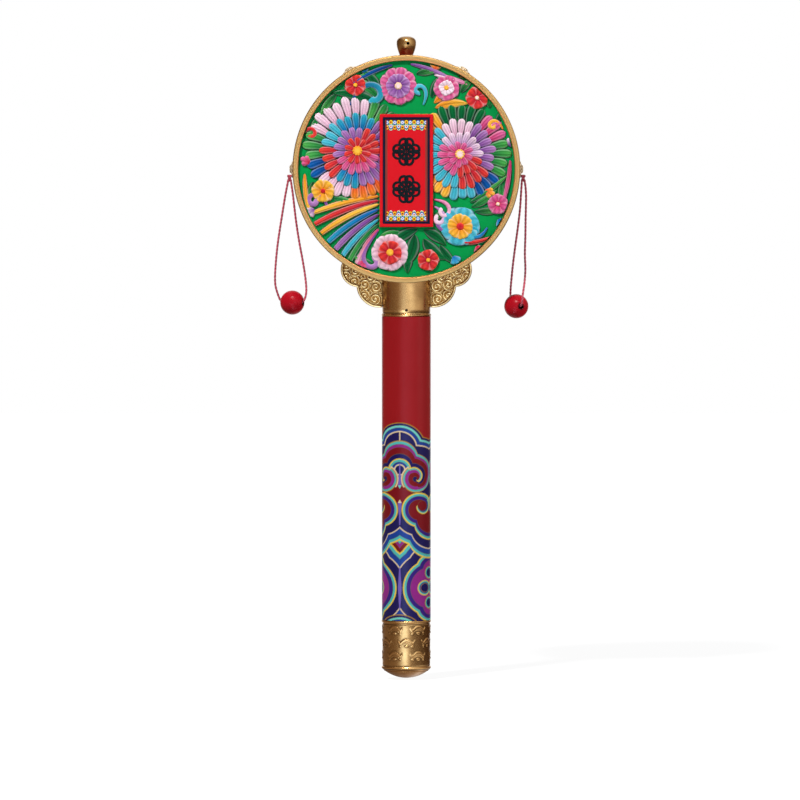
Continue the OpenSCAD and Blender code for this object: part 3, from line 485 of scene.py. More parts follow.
def print_colours(across, down):
    """Colours of the printed clouds, with across measured from a cloud's middle and down from its top.
    Depth in a circle is its radius less the distance to its centre, and in a group of circles the largest
    of these. In the scrolls the depth is a share of the way to the next turn."""
    x = np.abs((across + print_half) % (2 * print_half) - print_half)
    y = down

    def depth(*circles):
        return np.max([r - np.hypot(x - cx, y - cy) for cx, cy, r in circles], axis=0)

    def sinking(cx, cy, r, way):
        """Depth in circles whose middle sinks by 0.6 and whose radius shrinks by 0.4 for each unit of depth:
        the smaller root of the square equation that this gives."""
        u = y - cy
        b = 0.8 * r - 1.2 * way * u
        c = (x - cx) ** 2 + u * u - r * r
        return np.where(b > 0, (np.sqrt(np.maximum(b * b - 0.8 * c, 0)) - b) / 0.4, -99)

    def lay(below, deep, bands, where=True, blur=print_blur):
        """The bands laid over the colours below, where their shape is."""
        for start, colour in bands:
            cover = np.clip((deep - start) / blur + 0.5, 0, 1) * where
            below = below + (colour - below) * cover[..., None]
        return below

    paint = np.broadcast_to(red_ground, x.shape + (3,))
    outer = depth((0, 26, 26), (15.9, 56.5, 42.5))
    outer = np.where(y > 56.5, np.maximum(outer, 20), outer)
    paint = lay(paint, outer, arch_bands)
    paint = lay(paint, 0.55 - x, [(0, cream)], (y > 9.6) & (y < 18.2))

    # The head of the cloud: an arch between two scrolls, and the scrolls' inner turns over it
    dx, dy = x - 15.9, 56.5 - y
    r = np.hypot(dx, dy)
    turn = (125 - np.degrees(np.arctan2(dy, dx))) % 360
    edge_out = np.interp(turn, scroll_turn, scroll_edge)
    edge_in = np.interp(turn + 360, scroll_turn, scroll_edge)
    arch = sinking(0, 36.5, 18.6, 1) / 18.3
    wind = (edge_out - r) / np.maximum(edge_out - edge_in, 1)
    paint = lay(paint, np.maximum(arch, wind), head_bands, y < 72, 0.03)
    paint = lay(paint, depth((0, 47.2, 11.4)), heart_bands)
    paint = lay(paint, 13 - np.hypot(x, y - 71), [(0, dark_red)], y > 61)
    paint = lay(paint, 14.7 - r, [(0, cream)], (x < 9) & (y > 43) & (y < 64.5))
    stalk = np.interp(y, [42, 50, 58, 63, 65.5], [0.45, 0.7, 1.4, 1.8, 0]) - x
    paint = lay(paint, stalk, [(0, lilac_line)], (y > 41.5) & (y < 65.6))
    paint = lay(paint, np.interp(y, [62, 65.5], [2.2, 0.3]) - x, [(0, aqua)], (y > 62.4) & (y < 65.6))
    paint = lay(paint, (13.5 - r) / 13.5, scroll_bands, turn > 200, 0.03)
    rim = edge_in - r
    paint = lay(paint, rim / np.maximum(edge_in, 1), scroll_bands, (turn < 200) & (rim > 0), 0.03)
    paint = lay(paint, np.minimum(rim, 2.5 - rim), [(0, yellow)], turn < 190)
    paint = lay(paint, np.minimum(rim - 1.1, 2.5 - rim), [(0, teal)], turn < 160)

    # The lower clouds, the eye between them and the rings above it, each over the one before
    low = depth((print_half, 165.5, 28.5), (print_half, 146.7, 15.6), (print_half, 184.3, 15.6))
    paint = lay(paint, np.where(y > 108, 1.0, -1.0), [(0, deep_navy)])
    paint = lay(paint, low, lower_bands, y > 108)
    stalk = np.interp(y, [145, 165, 186], [0.5, 1.9, 0.5]) - x
    paint = lay(paint, stalk, [(0, lilac_line)], (y > 144.5) & (y < 187))
    paint = lay(paint, depth((print_half, 150.5, 6.5), (print_half, 180.5, 6.5)), eye_bands)
    paint = lay(paint, depth((25.5, 165.5, 7.7)), disc_bands)
    rings = np.maximum(depth((18.9, 87.3, 17)), sinking(print_half, 100.5, 17.3, -1))
    paint = lay(paint, rings, outer_ring_bands, y > 87)
    paint = lay(paint, rings, inner_ring_bands)
    kx, ky = x - 22.9, 83.4 - y
    kr = np.hypot(kx, ky)
    ka = (45 - np.degrees(np.arctan2(ky, kx))) % 360
    curl = np.interp(ka, [0, 40, 130, 225, 250], [9.5, 8.6, 8.3, 6.2, 0])
    paint = lay(paint, curl - kr, curl_bands, ka < 250)
    curl_heart = np.interp(ka, [0, 130, 225, 360], [4.6, 4.6, 4.9, 4.9])
    paint = lay(paint, curl_heart - kr, [(-0.3, thin_line), (0, dark_red)])
    stalk = np.interp(y, [77.3, 80, 84, 92, 102.5], [0, 2.0, 1.7, 0.9, 0.5]) - x
    paint = lay(paint, stalk, [(0, lilac_line)], (y > 77) & (y < 102.6))
    paint = lay(paint, np.interp(y, [77.3, 80.6], [0.4, 2.0]) - x, [(0, cream)], (y > 77) & (y < 80.6))
    paint = lay(paint, depth((0, 217.2, 25.5)), arch_bands)
    return paint


def print_wrap(angle):
    """Distance round the print for an angle from the front: its sine up to 45 degrees, then an even rate."""
    a = np.abs(angle)
    bend = np.pi / 4
    rate = (2 * print_half / print_round - np.sin(bend)) / (np.pi - bend)
    far = np.where(a < bend, np.sin(np.minimum(a, bend)), np.sin(bend) + rate * (a - bend))
    return np.sign(angle) * far * print_round


# The shaft's skin on a grid: x = r sin a, y = -r cos a, with close rows where the print is, and the ends
# closed by two rows that draw in to the axis
print_end = 0.0212
end_gap = 0.00005
turns = np.linspace(-np.pi, np.pi, 300, endpoint=False)
heights = np.concatenate([
    [-grip_half], np.linspace(end_gap - grip_half, print_end, 316, endpoint=False),
    np.linspace(print_end, grip_half - end_gap, 12), [grip_half]])
turn_grid, height_grid = np.meshgrid(turns, heights)
paint = print_colours(print_wrap(turn_grid) - print_turn, (print_top - height_grid) / print_unit)
across, deep = handle_radius * np.sin(turn_grid), -handle_radius * np.cos(turn_grid)
shaft = np.stack([across, deep, height_grid], axis=-1)
nearly, wholly = [0.9, 0.9, 1], [0, 0, 1]
shaft = np.concatenate([
    shaft[:1] * wholly, shaft[:1] * nearly, shaft, shaft[-1:] * nearly, shaft[-1:] * wholly])
paint = np.concatenate([paint[:1], paint[:1], paint, paint[-1:], paint[-1:]])
lacquer = finish("handle_lacquer", darkening=0.1, cloud=90, grain=1400, roughness=0.3, change=0.04,
                 bump=0.000004, specular=0.17)
handle = piece("handle_printed", [cells(shaft, paint, around=True)], lacquer, "drum")
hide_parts("handle_shaft")

# Neck ferrule, brad and end cap
# Thin antique brass tubes with rolled edges, their grooves painted dark as shade. The end cap is embossed
# with three rows of small clouds, painted lighter on the strokes as highlight and darker round their feet as
# shade, and closed by a spun dome, its lower roll painted dark as the shadow over the dome; a dark brad pins
# the ferrule.
brass_light = srgb(228, 194, 134)
brass_mid = srgb(192, 147, 92)
brass_dark = srgb(94, 64, 32)
scroll_ground = srgb(170, 130, 76)
antique = finish("antique_brass", darkening=0.4, cloud=150, grain=1500, roughness=0.22, change=0.08,
                 bump=0.000014, metal=1)


def turned(profile, tint, count=160):
    """A profile of radius and height turned round the handle's axis: x = r sin a, y = -r cos a."""
    profile = np.asarray(profile, float)
    a = np.linspace(0, 2 * np.pi, count, endpoint=False)[None, :]
    r, z = profile[:, :1], profile[:, 1:]
    points = np.stack([r * np.sin(a), -r * np.cos(a), np.broadcast_to(z, (len(profile), count))], axis=-1)
    tint = np.asarray(tint, float)
    if tint.ndim == 2:
        tint = tint[:, None]
    return cells(points, tint, around=True)


def arc(cx, cy, r, start, end, count):
    """Points on an arc, its angles in degrees."""
    a = np.radians(np.linspace(start, end, count))
    return np.stack([cx + r * np.cos(a), cy + r * np.sin(a)], axis=1)


sleeve_r = 0.0106
bore_r = 0.0098
roll_r = 0.00065
roll_at = sleeve_r + 0.00035 - roll_r
groove_at = 0.0017
groove_depth = 0.00012
ferrule_foot = grip_half
ferrule_top = 0.0858


def rolled_edge(end, way):
    """A tube's rolled edge as radius and height: the groove beside the roll, round the roll, and the bore."""
    groove = [[sleeve_r - groove_depth, end + way * groove_at]]
    roll = arc(roll_at, end + way * roll_r, roll_r, way * 65, way * -90, 12)
    return np.concatenate([groove, roll, [[bore_r, end]]])


profile = np.concatenate([
    [[bore_r, ferrule_top], [sleeve_r, ferrule_top]],
    [[sleeve_r, z] for z in np.linspace(0.0845, ferrule_foot + 0.0021, 14)],
    rolled_edge(ferrule_foot, 1), [[bore_r, ferrule_top]]])
# The groove beside the roll is painted dark as shade
shade = np.where(np.abs(profile[:, 1] - (ferrule_foot + groove_at)) < 0.0003, 0.35, 1.0)
ferrule = piece("ferrule_tube", [turned(profile, brass_mid * shade[:, None])], antique, "drum")
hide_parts("neck_ferrule")


def cloud_height(across, up):
    """The rise of one embossed cloud, a smooth step of the distance to its nearest stroke, and that
    distance. The strokes are a round roof with ends that turn up, over a lower line, a bead under each end
    and a bud in the middle."""
    x = np.abs(across)
    roof = 0.65 + 0.8 * np.cos(np.pi * (np.minimum(x, 3.1) / 3.1) ** 1.3)
    roof = roof + 1.2 * np.clip(x - 2.8, 0, 1) ** 1.5
    top = np.abs(up - roof) * 0.7 - 0.42 + 3 * np.clip(x - 3.8, 0, 9)
    line = np.abs(up - roof + 1.2) * 0.8 - 0.16 + 3 * np.clip(x - 2.0, 0, 9)
    ends = np.hypot(x - 2.7, up + 1.3) - 0.5
    bud = np.hypot(x * 0.6, up + 1.25) - 0.5
    far = np.min([top, line, ends, bud], axis=0)
    rise = np.clip(0.45 - far / 0.42, 0, 1)
    return rise * rise * (3 - 2 * rise), far


cap_top = -grip_half
cap_foot = -0.0889
wall_end = 0.0019
cloud_step = 2 * np.pi / 6
cloud_row = 5.7
cloud_relief = 0.0002
cap_turns = 330
sleeve_z = np.linspace(cap_top - wall_end, cap_foot + wall_end, 110)
turns = np.linspace(0, 2 * np.pi, cap_turns, endpoint=False)
turn_grid, height_grid = np.meshgrid(turns, sleeve_z)
emboss = np.zeros_like(turn_grid)
foot_shade = np.zeros_like(turn_grid)
for row in (-1, 0, 1):
    shift = 0 if row == 0 else cloud_step / 2
    across = (turn_grid + shift + cloud_step / 2) % cloud_step - cloud_step / 2
    up = (height_grid - (cap_top + cap_foot) / 2) * 1000 - cloud_row * row - 0.9
    rise, far = cloud_height(across * sleeve_r * 1000, up)
    emboss = np.maximum(emboss, rise)
    foot_shade = np.maximum(foot_shade, np.clip(1 - np.abs(far - 0.3) / 0.4, 0, 1))
r = sleeve_r + cloud_relief * emboss
wall = np.stack([r * np.sin(turn_grid), -r * np.cos(turn_grid), height_grid], axis=-1)
# Painted highlight and painted shade: the wall is lighter on the strokes and darker in a band round their
# feet
wall_tint = brass_mid * (0.82 - 0.26 * foot_shade * (1 - emboss) + 0.24 * emboss)[..., None]
top_roll = np.concatenate([[[sleeve_r, cap_top - wall_end]], rolled_edge(cap_top, -1)])[::-1]
low_roll = np.concatenate([[[sleeve_r, cap_foot + wall_end]], rolled_edge(cap_foot, 1)])

# The grooves are painted darker as shade, and the lower roll is painted dark as the shadow in the seam over
# the dome
number = np.arange(len(low_roll))
top_shade = np.where(number[::-1] < 2, 0.4, 1.1)
low_shade = np.where(number < 2, 0.4, np.where(number > 8, 0.12, 1.1))
bore = [[bore_r, cap_foot], [bore_r, cap_top]]
cap = piece("end_cap_embossed", [
    turned(top_roll, brass_mid * top_shade[:, None], cap_turns), cells(wall, wall_tint, around=True),
    turned(low_roll, brass_mid * low_shade[:, None], cap_turns), turned(bore, brass_dark, cap_turns)],
    antique, "drum", 1e-6)
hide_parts("end_cap_sleeve")


def dress(node, material):
    """Gives a node of the CAD model its finish."""
    made = bpy.data.objects[node]
    made.data.materials.clear()
    made.data.materials.append(material)


copper_brass = finish("dome_brass", colour=srgb(158, 112, 64), darkening=0.4, cloud=170, grain=1200,
                      roughness=0.27, change=0.15, bump=0.00001, metal=1)
dress("end_cap_dome", copper_brass)
dark_brad = finish("dark_brad", colour=srgb(58, 42, 26), darkening=0.3, cloud=600, grain=3000,
                   roughness=0.45, metal=1)
dress("ferrule_brad", dark_brad)

# Cloud brackets
# Two cast brass wings in the corners between the drum and the ferrule: a plate with a rounded
# raised border and raised scrolls, brushed bright on top and left brown in the ground. These colours are
# also painted light: a painted highlight on the border and the ridges, and painted shade in the ground.


def where_circles_meet(x0, z0, r0, x1, z1, r1, way):
    """Where two circles cross: along the line between their centres, then off it to one side."""
    far = math.hypot(x1 - x0, z1 - z0)
    ux, uz = (x1 - x0) / far, (z1 - z0) / far
    on = (r0 * r0 - r1 * r1 + far * far) / (2 * far)
    off = math.sqrt(r0 * r0 - on * on)
    return x0 + ux * on - way * uz * off, z0 + uz * on + way * ux * off


def between(cx, cz, r, start, end, count):
    """The arc round a centre from one point to another, the short way."""
    a = math.atan2(start[1] - cz, start[0] - cx)
    b = math.atan2(end[1] - cz, end[0] - cx)
    b = a + (b - a + math.pi) % (2 * math.pi) - math.pi
    angles = np.linspace(a, b, count)
    return np.stack([cx + r * np.cos(angles), cz + r * np.sin(angles)], axis=1)


# The outline's circles as x, z and radius: a lobe beside the ferrule, a tip, and the hoop that it sits on
lobe = (0.0120, 0.0810, 0.0100)
tip = (0.0213, 0.0878, 0.0077)
seat = (0.0, drum_z, 0.0488)
ferrule_side = 0.01066
low = (ferrule_side, lobe[1] - math.sqrt(lobe[2] ** 2 - (ferrule_side - lobe[0]) ** 2))
notch = where_circles_meet(*lobe, *tip, -1)
outer = where_circles_meet(*tip, *seat, -1)
high = (ferrule_side, drum_z - math.sqrt(seat[2] ** 2 - ferrule_side ** 2))
free_edge = np.concatenate([between(*lobe, low, notch, 40)[:-1], between(*tip, notch, outer, 50)[:-1]])
edge = np.concatenate([free_edge, between(*seat, outer, high, 24)[:-1], np.linspace(high, low, 20)[:-1]])


def drawn_in(outline, distance):
    """An outline moved in by a distance along its normals, its tangents turned a quarter to the left."""
    along = np.roll(outline, -1, axis=0) - np.roll(outline, 1, axis=0)
    along /= np.linalg.norm(along, axis=1)[:, None]
    return outline + distance * np.stack([-along[:, 1], along[:, 0]], axis=1)


border_level = 0.0016
ground_level = 0.00095
border_width = 0.00095
border_steps = [
    (0.00125, ground_level), (0.0011, ground_level), (0.00102, ground_level + 0.00025),
    (0.00085, border_level - 0.00006), (0.0006, border_level), (0.00035, border_level - 0.00004),
    (0.00012, border_level - 0.0002), (0, border_level - 0.0005)]


def plate(name, mirror, material):
    """A flat casting: its border's profile carried round the outline, front and back, and a flat ground on
    each side. The border stands up only where the edge is free of the drum and the ferrule."""
    steps = [(inward, -y) for inward, y in border_steps] + [(inward, y) for inward, y in border_steps[::-1]]
    raised = np.arange(len(edge)) < len(free_edge)
    rings, tint = [], []
    for inward, y in steps:
        level = np.where(raised, y, np.clip(y, -ground_level, ground_level))
        rings.append(np.insert(drawn_in(edge, inward), 1, level, axis=1))
        # The raised border is lighter: brushed brass, and also painted highlight
        tint.append(np.where((raised & (inward < border_width))[:, None], brass_light, scroll_ground))
    rings = np.stack(rings) * [mirror, 1, 1]
    made = piece(name, [cells(rings, np.stack(tint), around=True)], material, "drum")
    shape = bmesh.new()
    shape.from_mesh(made.data)
    open_edges = [side for side in shape.edges if side.is_boundary]
    for face in (-1, 1):
        rim = [side for side in open_edges if all(face * end.co.y > 0 for end in side.verts)]
        bmesh.ops.contextual_create(shape, geom=rim)
    bmesh.ops.recalc_face_normals(shape, faces=shape.faces)
    shape.to_mesh(made.data)
    shape.free()
    sides = np.empty(len(made.data.polygons), np.int32)
    made.data.polygons.foreach_get("loop_total", sides)
    made.data.polygons.foreach_set("use_smooth", sides < 5)
    return made


# The scrolls: their centres in millimetres, and which way each winds
scroll_centres = np.array([
    (13.9, 74.9, 1), (18.5, 76.3, -1), (13.5, 80.3, -1), (18.5, 81.3, 1), (22.9, 82.6, -1), (26.9, 85.0, 1),
    (22.4, 87.2, 1), (26.7, 89.5, -1), (15.6, 84.6, 1), (21.0, 78.9, 1)])
scroll_pitch = 1.4


def scroll_casting(mirror):
    """Scrollwork that fills a bracket inside its border: a grid over the plate, front and back, with height
    0.93 + 0.6 ((1 + cos 2 pi (r / pitch - turn)) / 2)^0.7 round the nearest scroll's centre, and lower on
    the seam between two. It closes at the margin."""
    across = np.arange(10.6, 29.4, 0.15)
    up = np.arange(70.6, 96, 0.15)
    x, z = np.meshgrid(across, up, indexing="ij")
    room = [r * 1000 - np.hypot(x - cx * 1000, z - cz * 1000) for cx, cz, r in (lobe, tip)]
    to_ferrule = x - ferrule_side * 1000 + 0.9
    room = np.min([np.max(room, axis=0), np.hypot(x, z - drum_z * 1000) - 48.1, to_ferrule], axis=0)
    far = np.stack([np.hypot(x - cx, z - cz) for cx, cz, hand in scroll_centres])
    first, second = np.sort(far, axis=0)[:2]
    cx, cz, hand = np.moveaxis(scroll_centres[np.argmin(far, axis=0)], -1, 0)
    turn = hand * np.arctan2(z - cz, x - cx) / (2 * np.pi)
    ridge = (0.5 + 0.5 * np.cos(2 * np.pi * (first / scroll_pitch - turn))) ** 0.7
    seam = np.clip(1 - (second - first) / 0.45, 0, 1)
    ridge = np.maximum(ridge * (1 - 0.75 * seam), np.exp(-((first - 0.1) / 0.4) ** 2))
    ridge *= np.clip((room - 1.15) / 0.3, 0, 1)
    inside = room > 0.65
    chosen = inside[:-1, :-1] & inside[1:, :-1] & inside[1:, 1:] & inside[:-1, 1:]
    held = np.pad(chosen, 1)
    whole = held[:-1, :-1] & held[1:, :-1] & held[1:, 1:] & held[:-1, 1:]
    level = np.where(whole, 0.93 + 0.6 * ridge * np.clip((room - 0.9) / 0.3, 0, 1), 0)
    # The ridges are lighter and the ground browner: brushed brass, and also painted highlight and painted
    # shade
    tint = scroll_ground + (brass_light * 1.1 - scroll_ground) * (ridge ** 1.2)[..., None]
    grids = []
    for face in (-1, 1):
        points, colours, faces = cells(np.stack([mirror * x, face * level, z], axis=-1) * 0.001, tint)
        faces = faces[chosen.ravel()]
        used = np.unique(faces)
        grids.append((points[used], colours[used], np.searchsorted(used, faces)))
    return grids


scroll_brass = finish("scroll_brass", darkening=0.22, cloud=300, grain=2500, roughness=0.3, change=0.12,
                      bump=0.000008, metal=1)
for side, mirror in (("left", -1), ("right", 1)):
    body_plate = plate("bracket_plate_" + side, mirror, scroll_brass)
    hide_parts("cloud_bracket_" + side)
    scrolls = piece("bracket_scrolls_" + side, scroll_casting(mirror), scroll_brass, "drum", 1e-6)

# Drum
# A steamed wooden hoop under red lacquer with a green head on each side. The heads are held by
# pressed brass rims, each with a fine line pressed round its face and painted darker as its shade; the stick
# runs through the hoop.
hoop_lacquer = finish("hoop_lacquer", colour=srgb(140, 20, 24), darkening=0.3, cloud=50, grain=1500,
                      roughness=0.34, change=0.08, bump=0.00001, specular=0.2)
bare_wood = finish("stick_wood", colour=srgb(201, 160, 106), darkening=0.4, cloud=120, grain=1800,
                   roughness=0.6)
head_green = finish("green_head", colour=srgb(0, 150, 72), darkening=0.12, cloud=130, grain=2600,
                    roughness=0.6, change=0.08, bump=0.000022, specular=0.05)
for node, material in (
        ("drum_shell", hoop_lacquer), ("through_rod", bare_wood), ("front_skin", head_green),
        ("rear_skin", head_green), ("anchor_knot_left", silk), ("anchor_knot_right", silk)):
    dress(node, material)


# The rim's section as radius and distance from the drum's middle: a skirt over the hoop and a face on the
# head, with a line pressed in between two radii
rim_outer = 0.050
rim_inner = 0.0475
inner_round = 0.0005
outer_round = 0.0006
skirt_wall = 0.0012
face_y = 0.018
head_y = 0.0164
line_start = 0.0484
line_end = 0.0487
line_y = face_y - 0.00001
rim_seat = head_y - 0.0001
skirt_end = head_y - 0.0045
rim_section = np.concatenate([
    [[rim_inner, rim_seat], [rim_inner, face_y - inner_round]],
    arc(rim_inner + inner_round, face_y - inner_round, inner_round, 180, 90, 6),
    [[0.0481, face_y], [line_start - 0.00006, face_y], [line_start, line_y], [line_end, line_y],
     [line_end + 0.00006, face_y], [0.0490, face_y]],
    arc(rim_outer - outer_round, face_y - outer_round, outer_round, 90, 0, 7),
    [[rim_outer, face_y - 0.003], [rim_outer, skirt_end], [rim_outer - skirt_wall, skirt_end],
     [rim_outer - skirt_wall, rim_seat], [rim_inner, rim_seat]]])
radius, depth = rim_section[:, :1], rim_section[:, 1:]
rim_tint = np.where(radius < line_start - 0.00005, srgb(180, 126, 74), srgb(173, 134, 80))
# The pressed line is painted darker, as its shade
rim_tint *= np.where(depth == line_y, 0.84, 1)
rim_brass = finish("rim_brass", darkening=0.1, cloud=70, grain=1400, roughness=0.5, change=0.04, bump=0,
                   metal=1)
for side, face in (("front", -1), ("rear", 1)):
    a = np.linspace(0, 2 * np.pi, 256, endpoint=False)[None, :]
    across, up = radius * np.cos(a), radius * np.sin(a) + drum_z
    hoop = np.stack([across, np.broadcast_to(face * depth, across.shape), up], axis=-1)
    made = piece("rim_" + side, [cells(hoop, rim_tint[:, None], around=True)], rim_brass, "drum")
    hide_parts(side + "_rim")

# Raised flowers on the front head
# Embossed and painted flowers, leaves, ribbons and curls on the green head, in bright enamel colours,
# with a pale band of painted highlight inside their edges and painted shade in their grooves and in a dark
# line round their feet. Every petal is a cushion of skin of its own, and stops at the rim and beside the
# plaque.
# Places and sizes are in millimetres from the drum's middle.
pink = srgb(230, 112, 168)
deep_pink = srgb(210, 48, 110)
pale_pink = srgb(236, 176, 206)
pinkish_white = srgb(253, 224, 238)
red_orange = srgb(240, 66, 50)
crimson = srgb(196, 28, 52)
turquoise = srgb(44, 174, 196)
sky = srgb(84, 192, 216)
blue = srgb(0, 100, 180)
deep_blue = srgb(6, 50, 122)
violet = srgb(122, 62, 150)
lilac = srgb(190, 134, 198)
light_green = srgb(84, 182, 82)
leaf_green = srgb(4, 116, 56)
dark_green = srgb(0, 82, 44)
orange = srgb(248, 150, 30)
gold_yellow = srgb(252, 200, 70)
enamel = finish("relief_enamel", darkening=0.16, cloud=320, grain=1500, roughness=0.5, change=0.06,
                bump=0.00016, specular=0.07)


def on_face(points):
    """Puts a flat skin of (x, z, height) in millimetres on the front head, its height towards the viewer."""
    x, z, height = np.moveaxis(points * 0.001, -1, 0)
    return np.stack([x, -(head_y + height), z + drum_z], axis=-1)


def spread(s, knots):
    """A value that follows straight steps between pairs of place and value."""
    places, values = zip(*knots)
    return np.interp(s, places, values)


def widths(kind, s):
    """Half width of a blade along its length, as a share of the widest. Petals and curls have round tips,
    leaves are bows and ribbons taper."""
    if kind == "petal":
        root = 0.45 + 0.55 * np.sin(np.pi / 2 * np.clip(s / 0.7, 0, 1)) ** 1.3
        tip_round = np.sqrt(np.maximum(1 - np.clip((s - 0.74) / 0.26, 0, 1) ** 2, 0))
        return root * tip_round * np.clip(s / 0.03, 0, 1)
    if kind == "leaf":
        return np.sin(np.pi * s ** 0.85) ** 0.85 * np.clip(s / 0.02, 0, 1)
    if kind == "curl":
        root = spread(s, [(0, 0.3), (0.3, 0.75), (0.6, 0.85), (0.9, 0.9), (1, 1.15)])
        tip_round = np.sqrt(np.maximum(1 - np.clip((s - 0.955) / 0.045, 0, 1) ** 2, 0))
        return root * tip_round * np.clip(s / 0.015, 0, 1)
    root = spread(s, [(0, 0.4), (0.2, 0.85), (0.55, 1), (0.85, 0.75), (1, 0.15)])
    return root * np.clip(s / 0.02, 0, 1) * np.clip((1 - s) / 0.02, 0, 1)


def blade(kind, x, z, heading, length, width, height, root_tint, tip_tint, turn=0, power=1, flutes=0,
          ribs=0, floor_height=0, rows=16, pale=0.3, tilt=0):
    """A raised petal, leaf, ribbon or curl in the flat, as a closed skin of points (x, z, height), and its
    colours. The middle line turns by turn * s^power. Across it the top is a cushion, (1 - |t|^2.6)^0.5, cut
    by flutes along it or by slanting ribs, which are painted darker as shade. A thin dark line of painted
    shade runs round its foot, and a pale band of painted highlight inside it."""
    s = np.linspace(0, 1, rows)
    fine = np.linspace(0, 1, rows * 8)
    angle = np.radians(heading + turn * fine ** power)
    run = np.stack([np.cos(angle), np.sin(angle)], axis=1) * length / (rows * 8 - 1)
    centre = np.concatenate([[[0, 0]], np.cumsum((run[1:] + run[:-1]) / 2, axis=0)])
    middle = np.stack([np.interp(s, fine, centre[:, k]) for k in (0, 1)], axis=1)
    facing = np.radians(heading + turn * s ** power)
    side = np.stack([-np.sin(facing), np.cos(facing)], axis=1)
    half_t = np.array([0.12, 0.25, 0.38, 0.52, 0.66, 0.8, 0.92, 1])
    t = np.concatenate([-half_t[::-1], [0], half_t])
    half = width * widths(kind, s)
    flat = middle[:, None] + side[:, None] * (half[:, None] * t[None, :])[..., None]
    cushion = np.sqrt(1 - np.abs(t) ** 2.6)[None, :]
    rise = spread(s, [(0, 0.5), (0.35, 0.85), (0.8, 1), (0.97, 0.8), (1, 0.35)])[:, None]
    cut = np.zeros((1, len(t)))
    if flutes:
        wave = np.cos(np.pi * flutes * (t + 1) + np.pi * (flutes + 1))
        cut = (0.22 * (0.5 + 0.5 * wave) ** 3 * (np.abs(t) < 0.9))[None, :]
    if ribs:
        slant = np.abs(t)[None, :] * 0.35 - s[:, None]
        vein = 0.35 * np.clip(1 - np.abs(t)[None, :] * 5, 0, 1)
        cut = np.maximum(0.22 * (0.5 + 0.5 * np.cos(2 * np.pi * ribs * slant)) ** 3, vein)
    top = height * rise * cushion * (1 - cut) + tilt * t[None, :] * rise
    tint = root_tint + (tip_tint - root_tint) * (s[:, None, None] ** 1.3)
    # Painted shade: darker in the flutes and ribs
    tint = tint * (1 - 1.5 * cut[..., None])
    # Painted highlight: a pale band inside the edge
    band = np.clip((np.abs(t) - 0.6) / 0.12, 0, 1) * np.clip((0.95 - np.abs(t)) / 0.1, 0, 1)
    tint = tint + (1 - tint) * (band * pale)[None, :, None]
    # Painted shade: the edge darkens to a dark line
    tint = tint * np.interp(np.abs(t), [0.7, 0.85, 0.93, 0.96], [1, 0.75, 0.4, 0.08])[None, :, None]
    lowest = 0.02
    points = np.dstack([flat, np.maximum(top, lowest) + floor_height])
    foot = flat[:, [0, -1]] + side[:, None] * np.array([-0.16, 0.16])[None, :, None]
    foot = np.dstack([foot, np.full((rows, 2), -0.05)])
    points = np.concatenate([foot[:, :1], points, foot[:, 1:]], axis=1)
    # The foot round the skin is painted half as dark, as shade
    tint = np.concatenate([tint[:, :1] * 0.5, tint, tint[:, -1:] * 0.5], axis=1)
    return points + [x, z, 0], tint


def button(x, z, r, height, tint, rim_tint, around=16, floor_height=0, dimple=0):
    """A low round boss in the flat: height falls as the root of 1 - s^2, with a dimple in the middle."""
    s = np.array([0, 0.3, 0.55, 0.75, 0.9, 1, 1, 0])
    level = height * (0.55 * np.sqrt(np.maximum(1 - s ** 2, 0)) + 0.45) - dimple * np.clip(1 - s / 0.5, 0, 1)
    level[-2:] = -0.12
    a = np.linspace(0, 2 * np.pi, around, endpoint=False)
    across, up = r * s[:, None] * np.cos(a), r * s[:, None] * np.sin(a)
    level = np.broadcast_to((level + floor_height)[:, None], across.shape)
    points = np.stack([x + across, z + up, level], axis=-1)
    mix = np.clip(s - 0.2, 0, 1)[:, None, None]
    return points, np.broadcast_to(tint + (rim_tint - tint) * mix, points.shape)


plaque_mid = -0.7
plaque_half = np.array([11.7, 24.75])
relief_edge = 46.95


def tucked(skin):
    """A skin on the head: what would pass the rim stops 0.55 mm inside it, and what would pass the plaque's
    edge stops 0.08 mm beside it."""
    points, tint = skin
    x, z, height = np.moveaxis(points, -1, 0)
    inward = np.minimum(1, relief_edge / np.maximum(np.hypot(x, z), 1e-6))
    x, z = x * inward, z * inward - plaque_mid
    stop_x, stop_z = plaque_half + 0.08
    beside, beyond = stop_x - np.abs(x), stop_z - np.abs(z)
    under = (beside > 0) & (beyond > 0)
    x = np.where(under & (beside < beyond), np.sign(x) * stop_x, x)
    z = np.where(under & (beside >= beyond), np.sign(z) * stop_z, z) + plaque_mid
    return cells(on_face(np.stack([x, z, height], axis=-1)), tint, around=True)


def heading_of(degrees):
    """How far one step in a direction leads to the right and up."""
    return math.cos(math.radians(degrees)), math.sin(math.radians(degrees))


